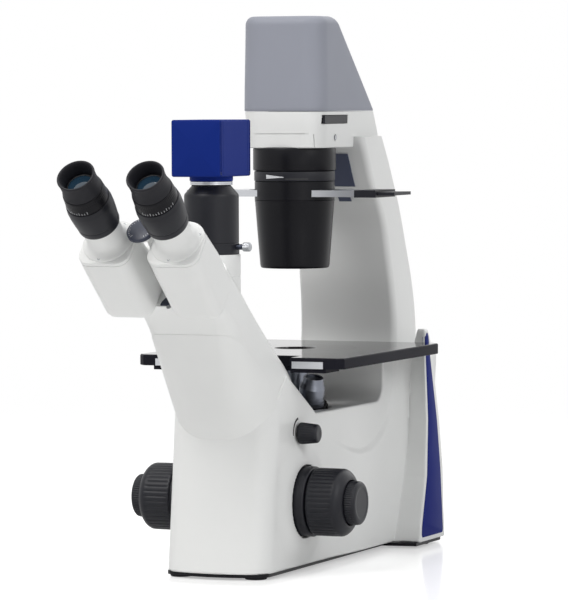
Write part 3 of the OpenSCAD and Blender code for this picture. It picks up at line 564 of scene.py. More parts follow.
# The head leans back by this angle; its axes run right, up along its face and out of the eyepieces.
tilt = math.radians(42)
eyeX = (1, 0, 0)
eyeV = (0, math.sin(tilt), math.cos(tilt))
eyeOut = (0, -math.cos(tilt), math.sin(tilt))
eyeStart = (0.0, -402.7, 361.5)
eyeHalf, hingeV = 32.0, 20.0


# From head axes (right, up along the face, outwards) to the light axis frame; s is the depth
# below the eye points.
def atHead(rows, x=0.0, v=0.0, s=0.0):
    o = np.array(eyeStart) + np.array(eyeX) * x + np.array(eyeV) * v - np.array(eyeOut) * s
    return along(rows, o, eyeX, eyeV, eyeOut)


# Side view place of a head point: depth s below the eye points, v up along the face.
def headPoint(s, v):
    return tuple(atHead(np.zeros((1, 3)), v=v, s=s)[0, 1:])


# Solids given by a distance, negative inside: roundMax meets two with a round edge, roundMin with
# a round hollow.

def roundMax(a, b, r):
    u, v = a + r, b + r
    return np.hypot(np.maximum(u, 0), np.maximum(v, 0)) + np.minimum(np.maximum(u, v), 0) - r


def roundMin(a, b, r):
    return -roundMax(-a, -b, r)


# Signed distance to a closed side view outline, by the nearest of its edges.
def sideShape(points, y, z):
    p = np.asarray(points, float)
    near, inside = np.inf, False
    for k in range(len(p)):
        a, b = p[k - 1], p[k]
        e = b - a
        t = np.clip(((y - a[0]) * e[0] + (z - a[1]) * e[1]) / (e @ e), 0, 1)
        near = np.minimum(near, np.hypot(y - a[0] - t * e[0], z - a[1] - t * e[1]))
        if a[1] != b[1]:
            cross = (y - a[0]) - (z - a[1]) * e[0] / e[1]
            inside = inside ^ (((a[1] > z) != (b[1] > z)) & (cross < 0))
    return np.where(inside, -near, near)


def ramp(v, a, b):
    t = np.clip((v - a) / (b - a), 0, 1)
    return t * t * (3 - 2 * t)


# Closed surface of a distance field: one point in each grid cell that the surface crosses, at the
# mean of its crossings, joined by a quad over each crossed edge, then moved onto the surface
# along the gradient.
def skin(field, xs, ys, zs):
    grid = [np.asarray(v, float) for v in (xs, ys, zs)]
    f = field(grid[0][:, None, None], grid[1][None, :, None], grid[2][None, None, :])
    shape = tuple(len(v) for v in grid)
    f = np.broadcast_to(f, shape)
    inside = f < 0
    cells = tuple(n - 1 for n in shape)
    total, count = np.zeros((3, np.prod(cells))), np.zeros(np.prod(cells))
    edges = []
    for axis in range(3):
        lo = [slice(None)] * 3
        hi = [slice(None)] * 3
        lo[axis], hi[axis] = slice(0, -1), slice(1, None)
        lo, hi = tuple(lo), tuple(hi)
        at = np.argwhere(inside[lo] != inside[hi])
        a, b = f[lo][tuple(at.T)], f[hi][tuple(at.T)]
        place = np.stack([grid[k][at[:, k]] for k in range(3)], -1)
        step = grid[axis][at[:, axis] + 1] - grid[axis][at[:, axis]]
        place[:, axis] += step * a / (a - b)
        p, q = (axis + 1) % 3, (axis + 2) % 3
        corners = []
        for dp, dq in ((-1, -1), (0, -1), (0, 0), (-1, 0)):
            c = at.copy()
            c[:, p] += dp
            c[:, q] += dq
            ok = np.all((c >= 0) & (c < cells), axis=1)
            ids = np.where(ok, np.ravel_multi_index(np.clip(c, 0, np.array(cells) - 1).T, cells), -1)
            corners.append(ids)
            for k in range(3):
                total[k] += np.bincount(ids[ok], place[ok, k], minlength=total.shape[1])
            count += np.bincount(ids[ok], minlength=len(count))
        corners = np.stack(corners, -1)
        turn = inside[lo][tuple(at.T)]
        corners[~turn] = corners[~turn][:, ::-1]
        edges.append(corners[(corners >= 0).all(1)])
    used = np.flatnonzero(count)
    index = np.full(len(count), -1)
    index[used] = np.arange(len(used))
    points = (total[:, used] / count[used]).T
    faces = index[np.concatenate(edges)]

    def slope(p):
        out, h = np.empty_like(p), 0.02
        for k in range(3):
            up, down = p.copy(), p.copy()
            up[:, k] += h
            down[:, k] -= h
            out[:, k] = (field(*up.T) - field(*down.T)) / (2 * h)
        return out

    for _ in range(4):
        g = slope(points)
        move = field(*points.T) / np.maximum((g**2).sum(1), 0.2)
        points -= np.clip(move, -1.2, 1.2)[:, None] * g
    g = slope(points)
    return points, faces, g / np.linalg.norm(g, axis=1)[:, None]


# Grid lines from (start, step) pairs and a last value.
def steps(*spans):
    out = []
    for (a, s), nxt in zip(spans[:-1], [p[0] if isinstance(p, tuple) else p for p in spans[1:]]):
        out.append(np.linspace(a, nxt, max(int(round((nxt - a) / s)), 1), endpoint=False))
    return np.append(np.concatenate(out), spans[-1])


standOf = {
    "wall": 50.4,
    "spread": 0.0117,
    "nose": 200.0,
    "lean": 0.121,
    "bow": 11.0,
    "corner": 15.0,
    "sill": 140.5,
    "peak": 178.6,
    "wing": 84.0,
    "stageUnder": 184.0,
    "shoulder": 206.5,
    "shelf": 190.5,
    "swoosh": 3.4,
    "edge": 2.0,
    "seat": 5.6,
    "back": 190.0,
    "chest": -139.6,
    # Rooms: half width, front, back and top. Pit: y, radius and floor. Openings: x, z, half
    # width, half height and front. Recess round the focus ring: radius and floor.
    "innerRoom": (44, -162, 72, 135.5),
    "rearRoom": (46, 60, 184, 104),
    "pit": (-24.45, 43.0, 132),
    "inlet": (-14, 45, 14, 11, 178),
    "rocker": (15, 46, 7, 10, 178),
    "recess": (32.9, 51.2),
    "shaftBore": 7.6,
    "dimmerBore": 4.4,
}

# Crease round the window, in side view.
swooshLine = [(113, 230), (113, 172.6), (111, 155), (106.5, 140), (97, 124), (83, 110), (65, 100.5)]
swooshLine += [(47, 96), (30, 94.4), (21, 95), (-2, 99), (-50, 114), (-95, 128), (-95, 230)]
focusAt, dimmerAt = (-110.6, 63.4), (-115.7, 125.0)


def standField(x, y, z):
    o = standOf
    ax = np.abs(x)
    out = sideShape(swooshLine, y, z)
    step = ramp(out, -5.5, 0.5) * ramp(y, -50, 20) * (1 - ramp(z, 178, 184))
    fold = np.interp(z, [5, 43, 97, 135, 171, 206], [103, 116, 129, 131, 134, 136])
    foldX = np.interp(z, [5, 97, 171], [54, 59, 62])
    flare = np.clip((y - fold + 42) / 42, 0, 1.25) ** 2 * (foldX - 53.3)
    focus = np.hypot(y - focusAt[0], z - focusAt[1])
    seat = o["seat"] * (1 - ramp(focus, 34.0, 60.0))
    wall = o["wall"] + o["spread"] * (np.clip(y, -205, 95) + 147)
    wall = wall + o["swoosh"] * step + flare + seat * (x > 0)
    side = (ax - wall) * 0.99
    front = (o["lean"] * (z - 2) - o["nose"] + o["bow"] * (ax / 51) ** 2 - y) * 0.97
    body = roundMax(side, front, o["corner"])
    # Top: collar of the arm, back slope of the tower, sill, rise to the shoulder.
    seamY = [-190, -176, -173.7, -157.5, -141.2, o["chest"]]
    seam = np.interp(y, seamY, [120, 143, 151.4, 162.2, 178.1, o["peak"]])
    collar = np.maximum(124 + 21.0 * (ax / 50) ** 2, seam)
    slope = o["peak"] - 0.5787 * (y - o["chest"])
    rise = np.maximum(88.0 - y, z - o["shelf"])
    tower = np.minimum(z - o["sill"], (z - slope) * 0.86)
    top = np.where(y < o["chest"], (z - collar) * 0.86, tower)
    top = np.where(y < 0, top, roundMin(z - o["sill"], rise, 17.0))
    body = roundMax(body, top, o["edge"])
    body = roundMax(body, y - o["back"], 6.0)
    # Wings.
    edgeY = np.interp(z, [5, 20, 66, 121, 181, 206], [104.5, 105.5, 118.5, 122, 116.5, 116.5])
    facet = fold + (ax - foldX) / (o["wing"] - foldX) * (edgeY - fold)
    back = np.interp(z, [5, 73, 119, 180, 206], [172, 168, 158, 140, 134])
    wing = roundMax((facet - y) * 0.9, ax - o["wing"], 1.6)
    wing = roundMax(wing, (y - back - 1.22 * (o["wing"] - ax)) * 0.634, 3.0)
    wing = roundMax(wing, y - o["back"], 6.0)
    # The wing ends in a narrow ear that drops towards the column and the back.
    drop = 1.5 * np.maximum(73.0 - ax, 0) + 1.7 * np.maximum(y - 127.0, 0)
    ear = np.where(x > 0, o["shoulder"], o["shelf"] + 1.5)
    wing = roundMax(wing, (z - np.maximum(ear - drop, o["shelf"])) * 0.7, 2.5)
    wing = np.where(y > 60, wing, 60 - y + 3)
    body = np.maximum(roundMin(body, wing, 1.2), y - o["back"])
    room = roundMax(o["stageUnder"] - z, y - 119.5, 1.5)
    body = roundMax(body, -room, 1.2)
    body = roundMax(body, 5.0 - z, 1.0)
    # Hollows, openings and bores.
    rooms = [
        np.maximum(ax - half, np.maximum(np.maximum(first - y, y - last), z - high))
        for half, first, last, high in (o["innerRoom"], o["rearRoom"])
    ]
    openings = [
        np.maximum(np.abs(x - atX) - wide, np.maximum(np.abs(z - atZ) - tall, first - y))
        for atX, atZ, wide, tall, first in (o["inlet"], o["rocker"])
    ]
    recess = np.maximum(focus - o["recess"][0], o["recess"][1] - x)
    pitY, pitR, pitLow = o["pit"]
    pit = np.maximum(np.hypot(x, y - pitY) - pitR, pitLow - z)
    dimmer = np.hypot(y - dimmerAt[0], z - dimmerAt[1]) - o["dimmerBore"]
    for hole in rooms + openings + [recess, pit, focus - o["shaftBore"], np.maximum(dimmer, -x)]:
        body = np.maximum(body, -hole)
    return body


def buildStand():
    xs = steps((-87, 1.5), (-79, 2.6), (-62.3, 1.35), (-44, 2.9))
    xs = np.concatenate([xs[:-1], np.linspace(-44, 44, 31), -xs[:-1][::-1]])
    ys = steps((-204, 1.5), (-130, 2.2), (-60, 2.8), (58, 1.9), 195)
    zs = steps((3, 2.6), (92, 1.7), 210)
    points, faces, normals = skin(standField, xs, ys, zs)
    addPiece("standShell", points, faces, "white_shell", "stand", "stand_housing", normals=normals)
    print("stage: stand", len(points), "points")


# Rows between given rows: cubic through the table, with tangents from its neighbours.
def smoothTable(table, count):
    t = np.asarray(table, float)
    m = len(t)
    at = np.linspace(0, m - 1, count)
    k = np.minimum(at.astype(int), m - 2)
    s = (at - k)[:, None]
    d = np.gradient(t, axis=0)
    a, b, da, db = t[k], t[k + 1], d[k], d[k + 1]
    return (
        (2 * s**3 - 3 * s**2 + 1) * a
        + (s**3 - 2 * s**2 + s) * da
        + (3 * s**2 - 2 * s**3) * b
        + (s**3 - s**2) * db
    )


armOf = {"coverProud": 0.55, "coverFoot": 8.0, "rows": 96, "fineRows": 480}

# Each row: front (y, z), back (y, z), width, front corner, back corner.
armTable = [
    (-162.0, 88.0, -96.0, 150.0, 98.4, 44.0, 16.0),
    (-181.5, 118.6, -121.0, 181.8, 98.0, 43.0, 16.0),
    (-203.0, 152.5, -152.6, 207.0, 93.0, 34.0, 15.0),
    (-224.0, 185.5, -176.0, 226.5, 88.0, 25.0, 14.0),
    (-246.0, 220.0, -198.6, 244.3, 85.0, 18.0, 13.0),
    (-264.5, 238.2, -212.5, 255.4, 84.2, 15.0, 13.0),
    headPoint(166.0, -6) + headPoint(166.0, 46) + (84.0, 14.0, 13.0),
]


def armRow(row, grow=0.0):
    fy, fz, by, bz, w, rf, rb = row
    d = math.hypot(by - fy, bz - fz)
    shape = outline(w + 2 * grow, d + 2 * grow, rf + grow, rb + grow, 12, 10)
    u = (shape[:, 1] / d + 0.5)[:, None]
    line = np.array([fy, fz]) + np.array([by - fy, bz - fz]) * u
    return np.concatenate([shape[:, :1], line], -1)


# Edge of the front cover in side view; its upper part is rounded.
coverEdge = [(-340, 219.5), (-240, 219.5), (-229, 214.5), (-205, 198.6), (-187, 185), (-175, 171)]
coverEdge += [(-169, 158), (-167, 140), (-160, 90), (-340, 90)]
softEdge = list(softLine(coverEdge[:8], 14, 6)) + coverEdge[8:]


# Value of a table of rows at fractional row t, for each listed point j of a row.
def rowAt(table, t, j):
    k = np.clip(t.astype(int), 0, len(table) - 2)
    s = (t - k)[:, None]
    return table[k, j] * (1 - s) + table[k + 1, j] * s


def buildArm():
    o = armOf
    rows = np.array([armRow(r) for r in smoothTable(armTable, o["rows"])])
    addPiece("tubeArmShell", *tube(rows), "white_shell", "stand", "tube_arm", sharp=40)
    # Front cover: each line along the arm from where it passes the cover's edge into the stand.
    last = o["fineRows"] - 1
    table = smoothTable(armTable, o["fineRows"])
    fine = np.array([armRow(r) for r in table])
    proud = np.array([armRow(r, o["coverProud"]) for r in table])
    keep, starts = [], []
    edge = sideShape(softEdge, fine[..., 1], fine[..., 2])
    for j in range(fine.shape[1]):
        covered = np.flatnonzero(edge[:, j] < 0)
        if len(covered) and 60 < covered[-1] < last - 1:
            k = covered[-1]
            keep.append(j)
            starts.append(k + edge[k, j] / (edge[k, j] - edge[k + 1, j]))
    # keep runs round the front; put it in order from one side to the other
    keep, starts = np.array(keep), np.array(starts)
    gap = np.flatnonzero(np.diff(keep) > 1)
    if len(gap):
        keep, starts = (np.roll(v, -(gap[0] + 1)) for v in (keep, starts))
    shares = np.linspace(0.0, 1.0, 60)
    down = [starts - 1.0 - s * (starts - o["coverFoot"]) for s in shares]
    sink = rowAt(fine, starts, keep) - rowAt(proud, starts, keep)
    lip = rowAt(fine, starts + 1.2, keep) + sink * 0.6
    rim = rowAt(fine, starts + 0.2, keep) * 0.25 + rowAt(proud, starts + 0.2, keep) * 0.75
    lines = np.array([lip, rim] + [rowAt(proud, t, keep) for t in down])
    # The two long edges turn down onto the arm.
    m = len(lines)
    down = [starts - 1.0 - s * (starts - o["coverFoot"]) for s in np.linspace(0, 1, m)]
    inward = np.array([rowAt(fine, np.clip(t, 0, last), keep) for t in down])
    left, right = (lines[:, e] * 0.2 + inward[:, e] * 0.8 for e in (slice(0, 1), slice(-1, None)))
    lines = np.concatenate([left, lines, right], 1)
    c = lines.shape[1]
    i, j = np.meshgrid(np.arange(m - 1), np.arange(c - 1), indexing="ij")
    k = i * c + j
    faces = np.stack([k, k + c, k + c + 1, k + 1], -1).reshape(-1, 4)
    points = lines.reshape(-1, 3)
    middle = points[c * (m // 2) + c // 2]
    p = points[faces[len(faces) // 2]]
    if np.dot(np.cross(p[1] - p[0], p[2] - p[1]), middle - np.array([0, -150, 180])) < 0:
        faces = faces[:, ::-1]
    addPiece("armCover", points, faces, "white_shell", "stand", "arm_front_cover", sharp=28)
    print("stage: arm", len(rows) * rows.shape[1], "points, cover", len(points))


# Column between shoulder and lamp head: height, front y, back y, width.
columnTable = [
    (186.0, 129.5, 188.6, 99.0),
    (208.0, 130.2, 187.6, 98.4),
    (230.0, 128.4, 184.6, 97.6),
    (255.0, 123.6, 178.2, 96.2),
    (280.0, 118.2, 169.4, 94.2),
    (305.0, 110.6, 159.4, 93.2),
    (325.0, 97.6, 149.2, 93.2),
    (342.0, 82.0, 138.4, 93.2),
    (365.0, 68.0, 123.5, 93.2),
    (389.4, 53.6, 105.6, 93.2),
]


def buildColumn():
    rows = []
    for z, front, back, width in smoothTable(columnTable, 56):
        shape = outline(width, back - front, 6.0, 4.0, 8, 3)
        rows.append(level(shape, z, (front + back) / 2))
    addPiece("columnShell", *tube(np.array(rows)), "white_shell", "stand", "column_housing", sharp=36)


headTable = {"front": -36.0, "low": 379.5, "high": 413.0, "wide": 82.0, "narrow": 76.4}


def headRow(z, inset=0.0):
    h = headTable
    t = (z - h["low"]) / (h["high"] - h["low"])
    w = h["narrow"] + (h["wide"] - h["narrow"]) * t - 2 * inset
    front = h["front"] + 1.5 * (1 - t) + inset
    back = 114.5 - (z - 389.6) / (h["high"] - 389.6) * 17.5 - inset if z > 389.55 else 52.4
    shape = outline(w, back - front, 20.0 - inset, 2.4, 10, 2)
    return level(shape, z, (front + back) / 2)


# Takes boxes and rods away from a piece and keeps the result as its mesh.
def cutBy(obj, cutters, sharp=30):
    tools = []
    for name, (points, faces) in cutters.items():
        tool = addObject(name, meshOf(name, toFrame(points), faces))
        tools.append(tool)
        m = obj.modifiers.new(name, "BOOLEAN")
        m.operation, m.object, m.solver = "DIFFERENCE", tool, "EXACT"
    bpy.context.view_layer.update()
    done = bpy.data.meshes.new_from_object(obj.evaluated_get(bpy.context.evaluated_depsgraph_get()))
    obj.modifiers.clear()
    obj.data = done
    done.set_sharp_from_angle(angle=math.radians(sharp))
    for tool in tools:
        bpy.data.objects.remove(tool)


# Box with rounded upright corners.
def boxRows(x0, x1, y0, y1, z0, z1, r=0.8):
    shape = outline(x1 - x0, y1 - y0, r, r, 3)
    shape = shape + [(x0 + x1) / 2, (y0 + y1) / 2]
    return np.array([np.column_stack([shape, np.full(len(shape), z)]) for z in (z0, z1)])


def buildLampHead():
    h = headTable
    zs = [h["low"], 379.7, 380.3, 389.4, 389.6, 390.1, 400, 412.2, 412.7, 413.0]
    insets = [1.2, 0.5, 0.0, 0.0, 0.0, 0.0, 0.0, 0.0, 0.15, 0.5]
    rows = np.array([headRow(z, i) for z, i in zip(zs, insets)])
    head = addPiece("lampHeadShell", *tube(rows), "white_shell", "stand", "arm_head", sharp=30)
    rod = axisX(turned(loop((0, 3.1), (6.6, 3.1)), 24), 37.4, 4, 389)
    cutBy(
        head,
        {
            "slot": tube(boxRows(-27, 60, -25.7, 31.8, 401.6, 409.9)),
            "recess": tube(rod),
            "seamFront": tube(boxRows(-60, 37.4, -60, -33.2, 392.4, 392.9, 0.1)),
            "seamSide": tube(boxRows(31.5, 32.0, -60, -20, 370, 392.6, 0.1)),
            "opening": tube(boxRows(-17, 17, -17, 17, 370, 402, 15)),
        },
    )
    # Lamp cap: upright front, back sloping to the top, all upper edges rolled.
    top, low, roll = 500.5, 413.35, 8.0
    rows = [capRow(low, 0.45)] + [capRow(z, 0.0) for z in np.linspace(low + 0.6, top - roll, 26)]
    for a in np.radians(np.linspace(0, 90, 12))[1:]:
        z = top - roll + roll * math.sin(a)
        rows.append(capRow(z, roll * (1 - math.cos(a)) * 0.9, roll * (1 - math.cos(a))))
    addPiece("lampCapShell", *tube(np.array(rows)), "grey_cap", "stand", "lamp_cap", sharp=40)


def capRow(z, inset, backInset=None):
    w = 82.6 - 2.2 * ramp(z, 413, 500.5) - 2 * inset
    front = -36.4 + 0.8 * ramp(z, 413, 500.5) + inset
    back = 97.4 - (z - 413.0) * 1.052 - (inset if backInset is None else backInset * 0.4)
    shape = outline(w, back - front, max(20.0 - inset, 4), 2.6, 12, 2)
    return level(shape, z, (front + back) / 2)


# Prism housings: a rounded block along the sight line, closed below by a rolled end, with the
# hinge lug.
def buildHousings():
    for name, side in (("left", -1), ("right", 1)):
        rows = []
        for s, inset in (
            (86.9, 1.0), (87.1, 0.45), (87.6, 0.0), (90.4, 0.0), (90.45, 0.45), (90.95, 0.45),
            (91.0, 0.0), (108, 0.0), (124, 0.0), (140, 0.0), (156, 0.0), (158.5, 0.25),
            (161.0, 1.1), (163.0, 2.6), (164.2, 4.4), (164.7, 6.2),
        ):
            taper = 0.9 * ramp(s, 100, 160)
            rear = 21.0 - 8.0 * ramp(s, 98, 118) - inset * 0.8
            wide, deep = (v - 2 * inset - taper for v in (47.4, 48.4))
            rows.append(level(outline(wide, deep, 11.5 - inset * 0.8, rear, 12, 3), -s))
        body = tube(atHead(np.array(rows), x=eyeHalf * side))
        mine, other = (134, 120) if side < 0 else (120, 134)
        lug = turned(softLine([(0, 0.01), (0, 15.5), (13, 15.5), (13, 0.01)], 1.2, 4), 64)
        rod = lambda a, b, r, count, **at: tube(atHead(turned(loop((a, r), (b, r)), count), **at))
        carrier, node = "ocular_" + name, "prism_housing_" + name
        piece = addPiece("prismHousing." + name, *body, "white_shell", carrier, node, sharp=36)
        cutters = {
            "barrel": rod(0, 90, 8.2, 48, v=hingeV, s=167),
            "otherLug": rod(0, 14.0, 16.1, 64, v=hingeV, s=other + 13.6),
            "lightWay": rod(0, 50, 15.0, 48, x=eyeHalf * side, s=132),
        }
        cutBy(piece, cutters)
        lug = tube(atHead(lug, v=hingeV, s=mine + 13.0))
        ring = addPiece("hingeLug." + name, *lug, "white_shell", carrier, sharp=36)
        cutBy(ring, {"bore": rod(-1, 20, 8.2, 48, v=hingeV, s=mine + 14.0)})


# Turns all faces outwards; split first cuts the many-sided ones into triangles.
def fixFaces(obj, split=False):
    work = bmesh.new()
    work.from_mesh(obj.data)
    if split:
        bmesh.ops.triangulate(work, faces=[f for f in work.faces if len(f.verts) > 4])
    bmesh.ops.recalc_face_normals(work, faces=work.faces)
    work.to_mesh(obj.data)
    work.free()


# A turned piece: its profile in count steps, laid by place; ring closes it through its bore.
def turnedPiece(name, place, profile, count, slot, body, *node, ribs=None, ring=True, sharp=40):
    rows = place(turned(profile, count, ribs))
    addPiece(name, *tube(rows, ring=ring), slot, body, *node, sharp=sharp)


panelOf = {"outer": 84.55, "inner": 81.0, "roll": 6.0, "leftTop": 178, "leftShare": 0.36}
panelLine = [
    (119.6, 199), (120, 181), (126, 121), (123, 66), (109, 20), (108.4, 12), (110, 9.2), (163, 9.2),
    (165, 12), (158, 73), (149, 119), (131, 180), (127.0, 199), (123.2, 204.2), (119.6, 199),
]


# Blue inlays of the wings: one outline in side view, raised a little, with a rolled rim.
def buildPanels():
    o = panelOf
    line = softLine(panelLine, o["roll"], 7)[:-1]
    across = np.roll(line, -1, 0) - np.roll(line, 1, 0)
    across /= np.linalg.norm(across, axis=1)[:, None]
    normal = np.column_stack([across[:, 1], -across[:, 0]])
    if np.dot(normal[3], line[3] - line.mean(0)) < 0:
        normal = -normal
    outer, top = o["outer"], o["leftTop"]
    rim = ((o["inner"], 0.0), (outer - 0.5, 0.0), (outer - 0.12, 0.15), (outer, 0.55))
    n = len(line)
    parts = []
    for side in (-1, 1):
        rows = []
        for x, shrink in rim:
            y, z = (line - normal * shrink).T
            if side < 0:  # the left wing ends below the stage top
                z = np.where(z > top, top + (z - top) * o["leftShare"], z)
            rows.append(np.column_stack([np.full(n, side * x), y, z]))
        points, faces = tube(np.array(rows), (False, False))
        parts.append((points, list(faces) + [tuple(range(3 * n, 4 * n)), tuple(range(n))[::-1]]))
    obj = addPiece("wingInlays", *joined(parts), "blue_panel", "stand", "side_panels", sharp=50)
    fixFaces(obj, split=True)


# Profiles are (height, radius) below the eye points; screws give the angles of each side.
eyeTable = {
    "screws": {-1: (264, 162, 60), 1: (267, 144, 21)},
    "tube": loop(
        (-63.5, 15.2), (-63.4, 16.1), (-63.7, 16.5), (-66, 16.5), (-77, 16.6), (-79.4, 16.7),
        (-80.8, 17.1), (-82.6, 18.2), (-84.1, 19.8), (-84.9, 21.4), (-85.25, 21.9), (-85.7, 22.35),
        (-86.4, 22.6), (-88.6, 22.6), (-90.7, 22.5), (-90.95, 22.2), (-90.95, 15.2),
    ),
    "barrel": loop(
        (-23, 13.1), (-23, 15.5), (-31.4, 15.5), (-31.5, 19.0), (-31.9, 19.5), (-33.5, 19.75),
        (-36.3, 20.1), (-37.2, 20.2), (-44, 20.05), (-50.5, 19.5), (-55.6, 18.9), (-56.1, 18.45),
        (-56.7, 18.4), (-57.1, 18.7), (-61.2, 18.5), (-62.4, 18.15), (-62.95, 17.5), (-63, 14.9),
        (-81.6, 14.9), (-82, 14.5), (-82, 13.1),
    ),
    "dioptre": loop(
        (-18.5, 15.7), (-18.4, 17.3), (-18.8, 17.8), (-19.6, 18.0), (-22.0, 18.15), (-24.0, 18.3),
        (-26.0, 18.5), (-28.0, 18.65), (-30.0, 18.8), (-30.8, 18.75), (-31.15, 18.4), (-31.2, 15.7),
    ),
    "cup": loop(
        (-10.8, 13.1), (-7.5, 13.35), (-4, 13.85), (-1.6, 14.5), (-0.5, 15.0), (-0.05, 15.6),
        (-0.1, 16.2), (-0.6, 16.65), (-1.4, 16.8), (-2.2, 16.6), (-4.5, 16.35), (-8, 16.2),
        (-12, 16.25), (-14.5, 16.6), (-16.4, 17.2), (-17.5, 17.45), (-18.0, 17.3), (-18.0, 13.1),
    ),
    "ring": loop((-13.1, 11), (-12.9, 11.5), (-12.9, 12.7), (-13.3, 12.95), (-17, 12.95), (-17, 11)),
    "lens": (0.02, 2, 4, 6, 8, 9.5, 10.8, 11.7, 11.95),
    "disc": loop(
        (-81.7, 0.02), (-81.7, 8.8), (-79.4, 9.0), (-79.2, 12.2), (-78.9, 12.5), (-76.9, 12.5),
        (-76.2, 12.3), (-75.7, 11.7), (-75.5, 11.2), (-75.5, 0.02),
    ),
    "plate": [(-4, 6.0), (7.4, 6.0), (8.2, -5.2), (-9.0, -5.2), (-8.4, -1.0), (-4, 6.0)],
    "discV": 5.0,
}
upright = np.eye(3)


# Round screw head with a sunk six-sided drive.
def hexScrew(r, high):
    count, ways = 24, 6
    top = ((high - 0.3, r), (high - 0.08, r - 0.1), (high, r - 0.3), (high, r * 0.55))
    angle = circle(count)
    flat = r * 0.5 / np.cos((angle % (2 * np.pi / ways)) - np.pi / ways)
    drive = [
        np.stack([flat * k * np.cos(angle), flat * k * np.sin(angle), np.full(count, h)], -1)
        for h, k in ((high, 1.0), (high - 0.6, 1.0), (high - 0.65, 0.2))
    ]
    return np.concatenate([turned(loop((-0.6, r), *top), count), drive])


# Axes of a mark at angle a round a dial: outwards, and along the dial.
def dialAxes(a):
    return np.array([math.cos(a), math.sin(a), 0]), np.array([-math.sin(a), math.cos(a), 0])


def buildEyes():
    t = eyeTable
    ribs = lambda a, h: -0.28 * within(h, -25.2, -19.4) * bump(a, 60, 3) * (h < -18.7) * (h > -31)
    for name, side in (("left", -1), ("right", 1)):
        x = eyeHalf * side
        tail, body, turning = "." + name, "ocular_" + name, "diopter_" + name
        put = lambda rows: atHead(rows, x=x)
        node = "eyepiece_tube_" + name
        turnedPiece("eyepieceTube" + tail, put, t["tube"], 96, "white_shell", body, node)
        node = "eyepiece_" + name
        rows = t["barrel"]
        turnedPiece("eyepieceBarrel" + tail, put, rows, 112, "black_plastic", body, node, sharp=34)
        node = "diopter_ring_" + name
        rows = t["dioptre"]
        turnedPiece("dioptreRing" + tail, put, rows, 240, "black_metal", turning, node, ribs=ribs)
        marks = []
        for k in range(-6, 7):
            out, way = dialAxes(math.radians(270 + 25 * side + 7.5 * k))
            shape = boxRows(-0.16, 0.16, -0.07, 0.07, 0, 3.0 if k % 3 == 0 else 1.9, 0.05)
            marks.append(tube(put(along(shape, out * 18.86 + (0, 0, -30.3), way, out, (0, 0, 1)))))
        addPiece("dioptreMarks" + tail, *joined(marks), "mark_white", turning)
        turnedPiece("eyeCup" + tail, put, t["cup"], 96, "rubber", body, "eyecup_" + name, sharp=45)
        turnedPiece("lensRing" + tail, put, t["ring"], 72, "black_metal", body, sharp=32)
        # Lens face: a shallow dome, depth r * r / (2 * 34).
        r = np.array(t["lens"])
        dome = np.column_stack([-9.0 - 2.6 - r * r / 68.0, r])
        lens = np.concatenate([dome, [[-16.5, 11.9], [-17.0, 11.4], [-17.0, 0.02]]])
        node = "eye_lens_" + name
        turnedPiece("eyeLens" + tail, put, lens, 64, "glass", body, node, ring=False)
        heads = []
        for a in np.radians(t["screws"][side]):
            place = (20.7 * math.cos(a), 20.7 * math.sin(a), -85.25)
            heads.append(tube(put(along(hexScrew(1.25, 0.8), place, *upright))))
        addPiece("flangeScrews" + tail, *joined(heads), "steel", body)
    # Scale disc between the housings, with plain division marks.
    put = lambda rows: atHead(rows, v=t["discV"])
    turnedPiece("scaleDisc", put, t["disc"], 96, "scale_blue", "stand", "scale_disc", ring=False)
    marks = []
    for k in range(25):
        out, way = dialAxes(math.radians(90 + (k - 12) * 12))
        shape = boxRows(-2.4 if k % 4 == 0 else -1.4, 0, -0.17, 0.17, -75.52, -75.4, 0.05)
        marks.append(tube(put(along(shape, out * 10.9, out, way, (0, 0, 1)))))
    addPiece("scaleMarks", *joined(marks), "mark_white", "stand")
    # Small plate at the head of the arm.
    plate = softLine(t["plate"], 1.0, 5)[:-1]
    layers = ((166.2, 1), (165.35, 1), (165.1, 0.98), (165.0, 0.94))
    rows = np.array([level(plate * k + (1 - k) * plate.mean(0), -s) for s, k in layers])
    addPiece("headPlate", *tube(atHead(rows)), "scale_blue", "stand", "head_end_plate", sharp=40)
    screw = along(hexScrew(1.7, 0.2), (0.2, 0.6, -165.05), *upright)
    addPiece("headPlateScrew", *tube(atHead(screw)), "silver", "stand")


# Profiles are (height along the shaft, radius).
focusTable = {
    "torque": loop(
        (0.15, 6.2), (0.1, 28.0), (0.2, 30.2), (0.7, 31.2), (1.6, 31.6), (12.6, 31.6), (13.5, 31.2),
        (13.95, 30.3), (13.95, 6.2),
    ),
    "coarse": loop(
        (0, 6.1), (0, 27.8), (0.1, 29.0), (0.9, 30.1), (2.0, 30.5), (3.0, 30.5), (9, 30.5),
        (18, 30.5), (25.2, 30.4), (26.6, 30.15), (28.2, 29.4), (29.8, 28.2), (31.2, 26.6),
        (32.4, 24.7), (33.3, 22.9), (33.7, 21.7), (33.6, 20.8), (33.0, 20.3), (26.9, 20.3),
        (26.6, 19.5), (26.6, 6.1),
    ),
    "fine": loop(
        (0.4, 0.02), (0.0, 17.6), (0.6, 19.0), (1.4, 19.5), (7.5, 19.7), (13.4, 19.6), (14.6, 19.3),
        (15.5, 18.5), (16.1, 17.3), (16.4, 15.6), (16.4, 14.4), (16.15, 13.6), (16.05, 0.02),
    ),
    # The left coarse knob reaches in to the wall.
    "sleeve": loop((0, 6.1), (0, 27.6), (0.6, 28.6), (14.8, 28.6), (14.8, 6.1)),
    "dimmer": loop(
        (0.2, 0.02), (0.05, 8.2), (0.2, 9.2), (0.8, 9.7), (2.0, 9.8), (8, 9.3), (13.0, 8.8),
        (16.4, 8.4), (17.4, 7.9), (18.1, 6.9), (18.3, 5.4), (18.1, 0.02),
    ),
    "torqueX": 51.3,
    "coarseX": 66.1,
    "fineX": 93.1,
    "sleeveX": 52.0,
    "dimmerX": 52.4,
}


